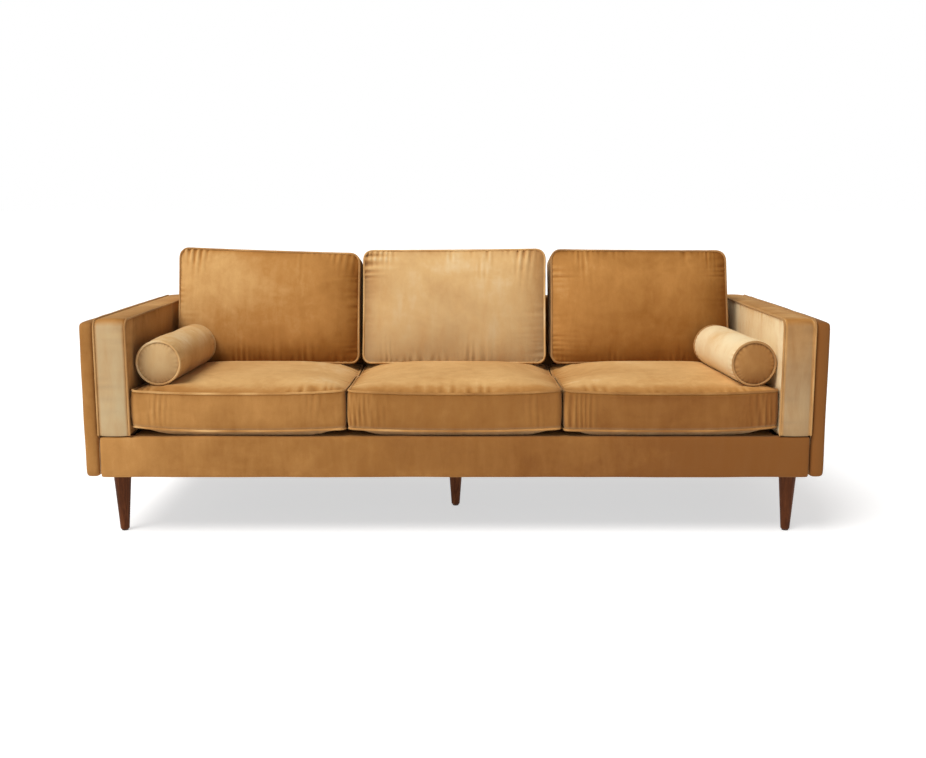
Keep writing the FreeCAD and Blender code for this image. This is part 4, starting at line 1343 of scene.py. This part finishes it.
def make_wings():
    for side, nap_and_painted_light, seed in (("left", 0.27, 71), ("right", -0.08, 72)):
        node = f"wing_cover_{side}"
        make_padded_slab(f"wing_{side}", (node,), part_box(node), 0.013, nap_and_painted_light, seed, (0.003, 0.002, 0.002))


def make_outside_back():
    node = "outside_back_cover"
    make_padded_slab("outside_back", (node,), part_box(node), 0.013, 0.42, 73, (0.001, 0.003, 0.002))


def below_seats(node):
    """The node's box, a little lower at the top, to leave room for the seat cushions."""
    low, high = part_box(node)
    return low, (high.x, high.y, high.z - DECK_GAP)


def make_front_band():
    def nap_and_painted_light(points):
        return side_nap_and_painted_shade(points[:, 0]) + NAP_BAND

    box = below_seats("front_band")
    make_padded_slab("front_band_cover", ("front_band",), box, 0.008, nap_and_painted_light, 74, (0.0, 0.003, 0.0))


def make_inside_back():
    """The padded slope behind the back cushions, and the cap over the back frame."""
    low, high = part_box("inside_back_cover")
    slope = math.tan(LEAN)
    depth = 0.034
    cap_lap, cap_depth = 0.006, 0.017

    def lean(points):
        points = points.copy()
        points[:, 1] += slope * (points[:, 2] - low.z)
        return points

    upright = (low, (high.x, low.y + depth, high.z))
    make_padded_slab("inside_back_slope", ("inside_back_cover",), upright, 0.012, 0.40, 75, shear=lean)
    front = low.y + slope * (high.z - low.z) + depth - cap_lap
    cap = ((low.x, front, high.z - cap_depth), high)
    make_padded_slab("inside_back_cap", (), cap, 0.006, 0.42, 76)


def make_deck():
    points, faces = soft_slab(*below_seats("deck_pad"), 0.006, 0.03, FLAT, 77)
    piece = make_object("deck_pad_cover", points, faces)
    subdivided(piece)
    finish_piece(piece, "frame", DECK_CLOTH, ("deck_pad",))


# =============================================================== scene
WHITE = (1.0, 1.0, 1.0, 1.0)


def make_world():
    """A white horizon all round, and above it a soft sky that is brighter on the left."""
    world = bpy.data.worlds.new("studio")
    world.use_nodes = True
    tree = world.node_tree
    direction = add(tree, "ShaderNodeTexCoord").outputs["Generated"]
    split = add(tree, "ShaderNodeSeparateXYZ", {"Vector": direction})
    towards_left = maths(tree, "MULTIPLY", split.outputs["X"], -SKY_SIDE)
    sky = maths(tree, "ADD", towards_left, SKY_LEVEL)
    fade = {
        "Value": split.outputs["Z"],
        "From Min": HORIZON[0],
        "From Max": HORIZON[1],
        "To Min": 1.0,
        "To Max": 0.0,
    }
    horizon = add(tree, "ShaderNodeMapRange", fade).outputs["Result"]
    strength = maths(tree, "MAXIMUM", horizon, sky)
    background = tree.nodes["Background"]
    background.inputs["Color"].default_value = WHITE
    tree.links.new(strength, background.inputs["Strength"])
    bpy.context.scene.world = world


def make_floor():
    mesh = bpy.data.meshes.new("floor")
    corners = [(x * FLOOR_SIZE, y * FLOOR_SIZE, 0) for x, y in ((-1, -1), (1, -1), (1, 1), (-1, 1))]
    mesh.from_pydata(corners, [], [(0, 1, 2, 3)])
    floor = bpy.data.objects.new("floor", mesh)
    bpy.context.scene.collection.objects.link(floor)
    material, tree, shader, place = new_material("pale_floor")
    stops = ((0.3, (0.60, 0.60, 0.60)), (0.7, (0.62, 0.62, 0.62)))
    tree.links.new(ramp(tree, noise(tree, place, 0.7), stops), shader.inputs["Base Color"])
    shader.inputs["Roughness"].default_value = 0.9
    shader.inputs["Emission Color"].default_value = WHITE
    shader.inputs["Emission Strength"].default_value = FLOOR_GLOW
    mesh.materials.append(material)


def make_lights():
    """One wide, soft lamp high on the left."""
    data = bpy.data.lights.new("window", "SUN")
    data.energy = KEY_ENERGY
    data.angle = KEY_ANGLE
    data.color = (1.0, 0.985, 0.96)
    lamp = bpy.data.objects.new("window", data)
    lamp.rotation_euler = Vector(KEY_FROM).to_track_quat("Z", "Y").to_euler()
    bpy.context.scene.collection.objects.link(lamp)


def make_camera():
    """At about waist height, a little over three metres in front."""
    front = CAD_BOX[0][1]
    data = bpy.data.cameras.new("camera")
    data.sensor_width = 36.0
    data.lens = CAMERA_LENS
    data.shift_y = CAMERA_SHIFT
    camera = bpy.data.objects.new("camera", data)
    camera.location = (CAMERA_X, front - CAMERA_DISTANCE, CAMERA_HEIGHT)
    camera.rotation_euler = (math.radians(90) - CAMERA_PITCH, 0, 0)
    bpy.context.scene.collection.objects.link(camera)
    bpy.context.scene.camera = camera
    bpy.context.scene.view_settings.view_transform = "Standard"


make_camera()
make_world()
make_floor()
make_lights()
dress_cad_nodes()

SEEDS = {"left": 11, "middle": 12, "right": 13}
seats = {name: make_seat_cushion(name, seed) for name, seed in SEEDS.items()}
backs = {name: make_back_cushion(name, seed + 20) for name, seed in SEEDS.items()}
run_cloth([*seats.values(), *backs.values()])
for name, cushion in seats.items():
    cushion.finish(seat_limit(name), fill=0.85)
    # the cord paler than the boxing: its own bias-cut tone and a painted highlight
    cushion.add_piping(lambda points: side_nap_and_painted_shade(points[:, 0]) + 0.16, painted_sheen=0.10)
    make_zip(cushion.zip_line(far=True), (0, 1, 0), cushion.body)
for name, cushion in backs.items():
    cushion.finish(back_limit(name, cushion.form), fill=0.7)
    cushion.add_piping(NAP_BACK[name] - 0.06, painted_sheen=0.2)
    make_zip(cushion.zip_line(far=False), (0, 0, -1), cushion.body)
make_bolster("left", 41)
make_bolster("right", 42)
make_arm("left", 51)
make_arm("right", 52)
make_wings()
make_outside_back()
make_front_band()
make_inside_back()
make_deck()
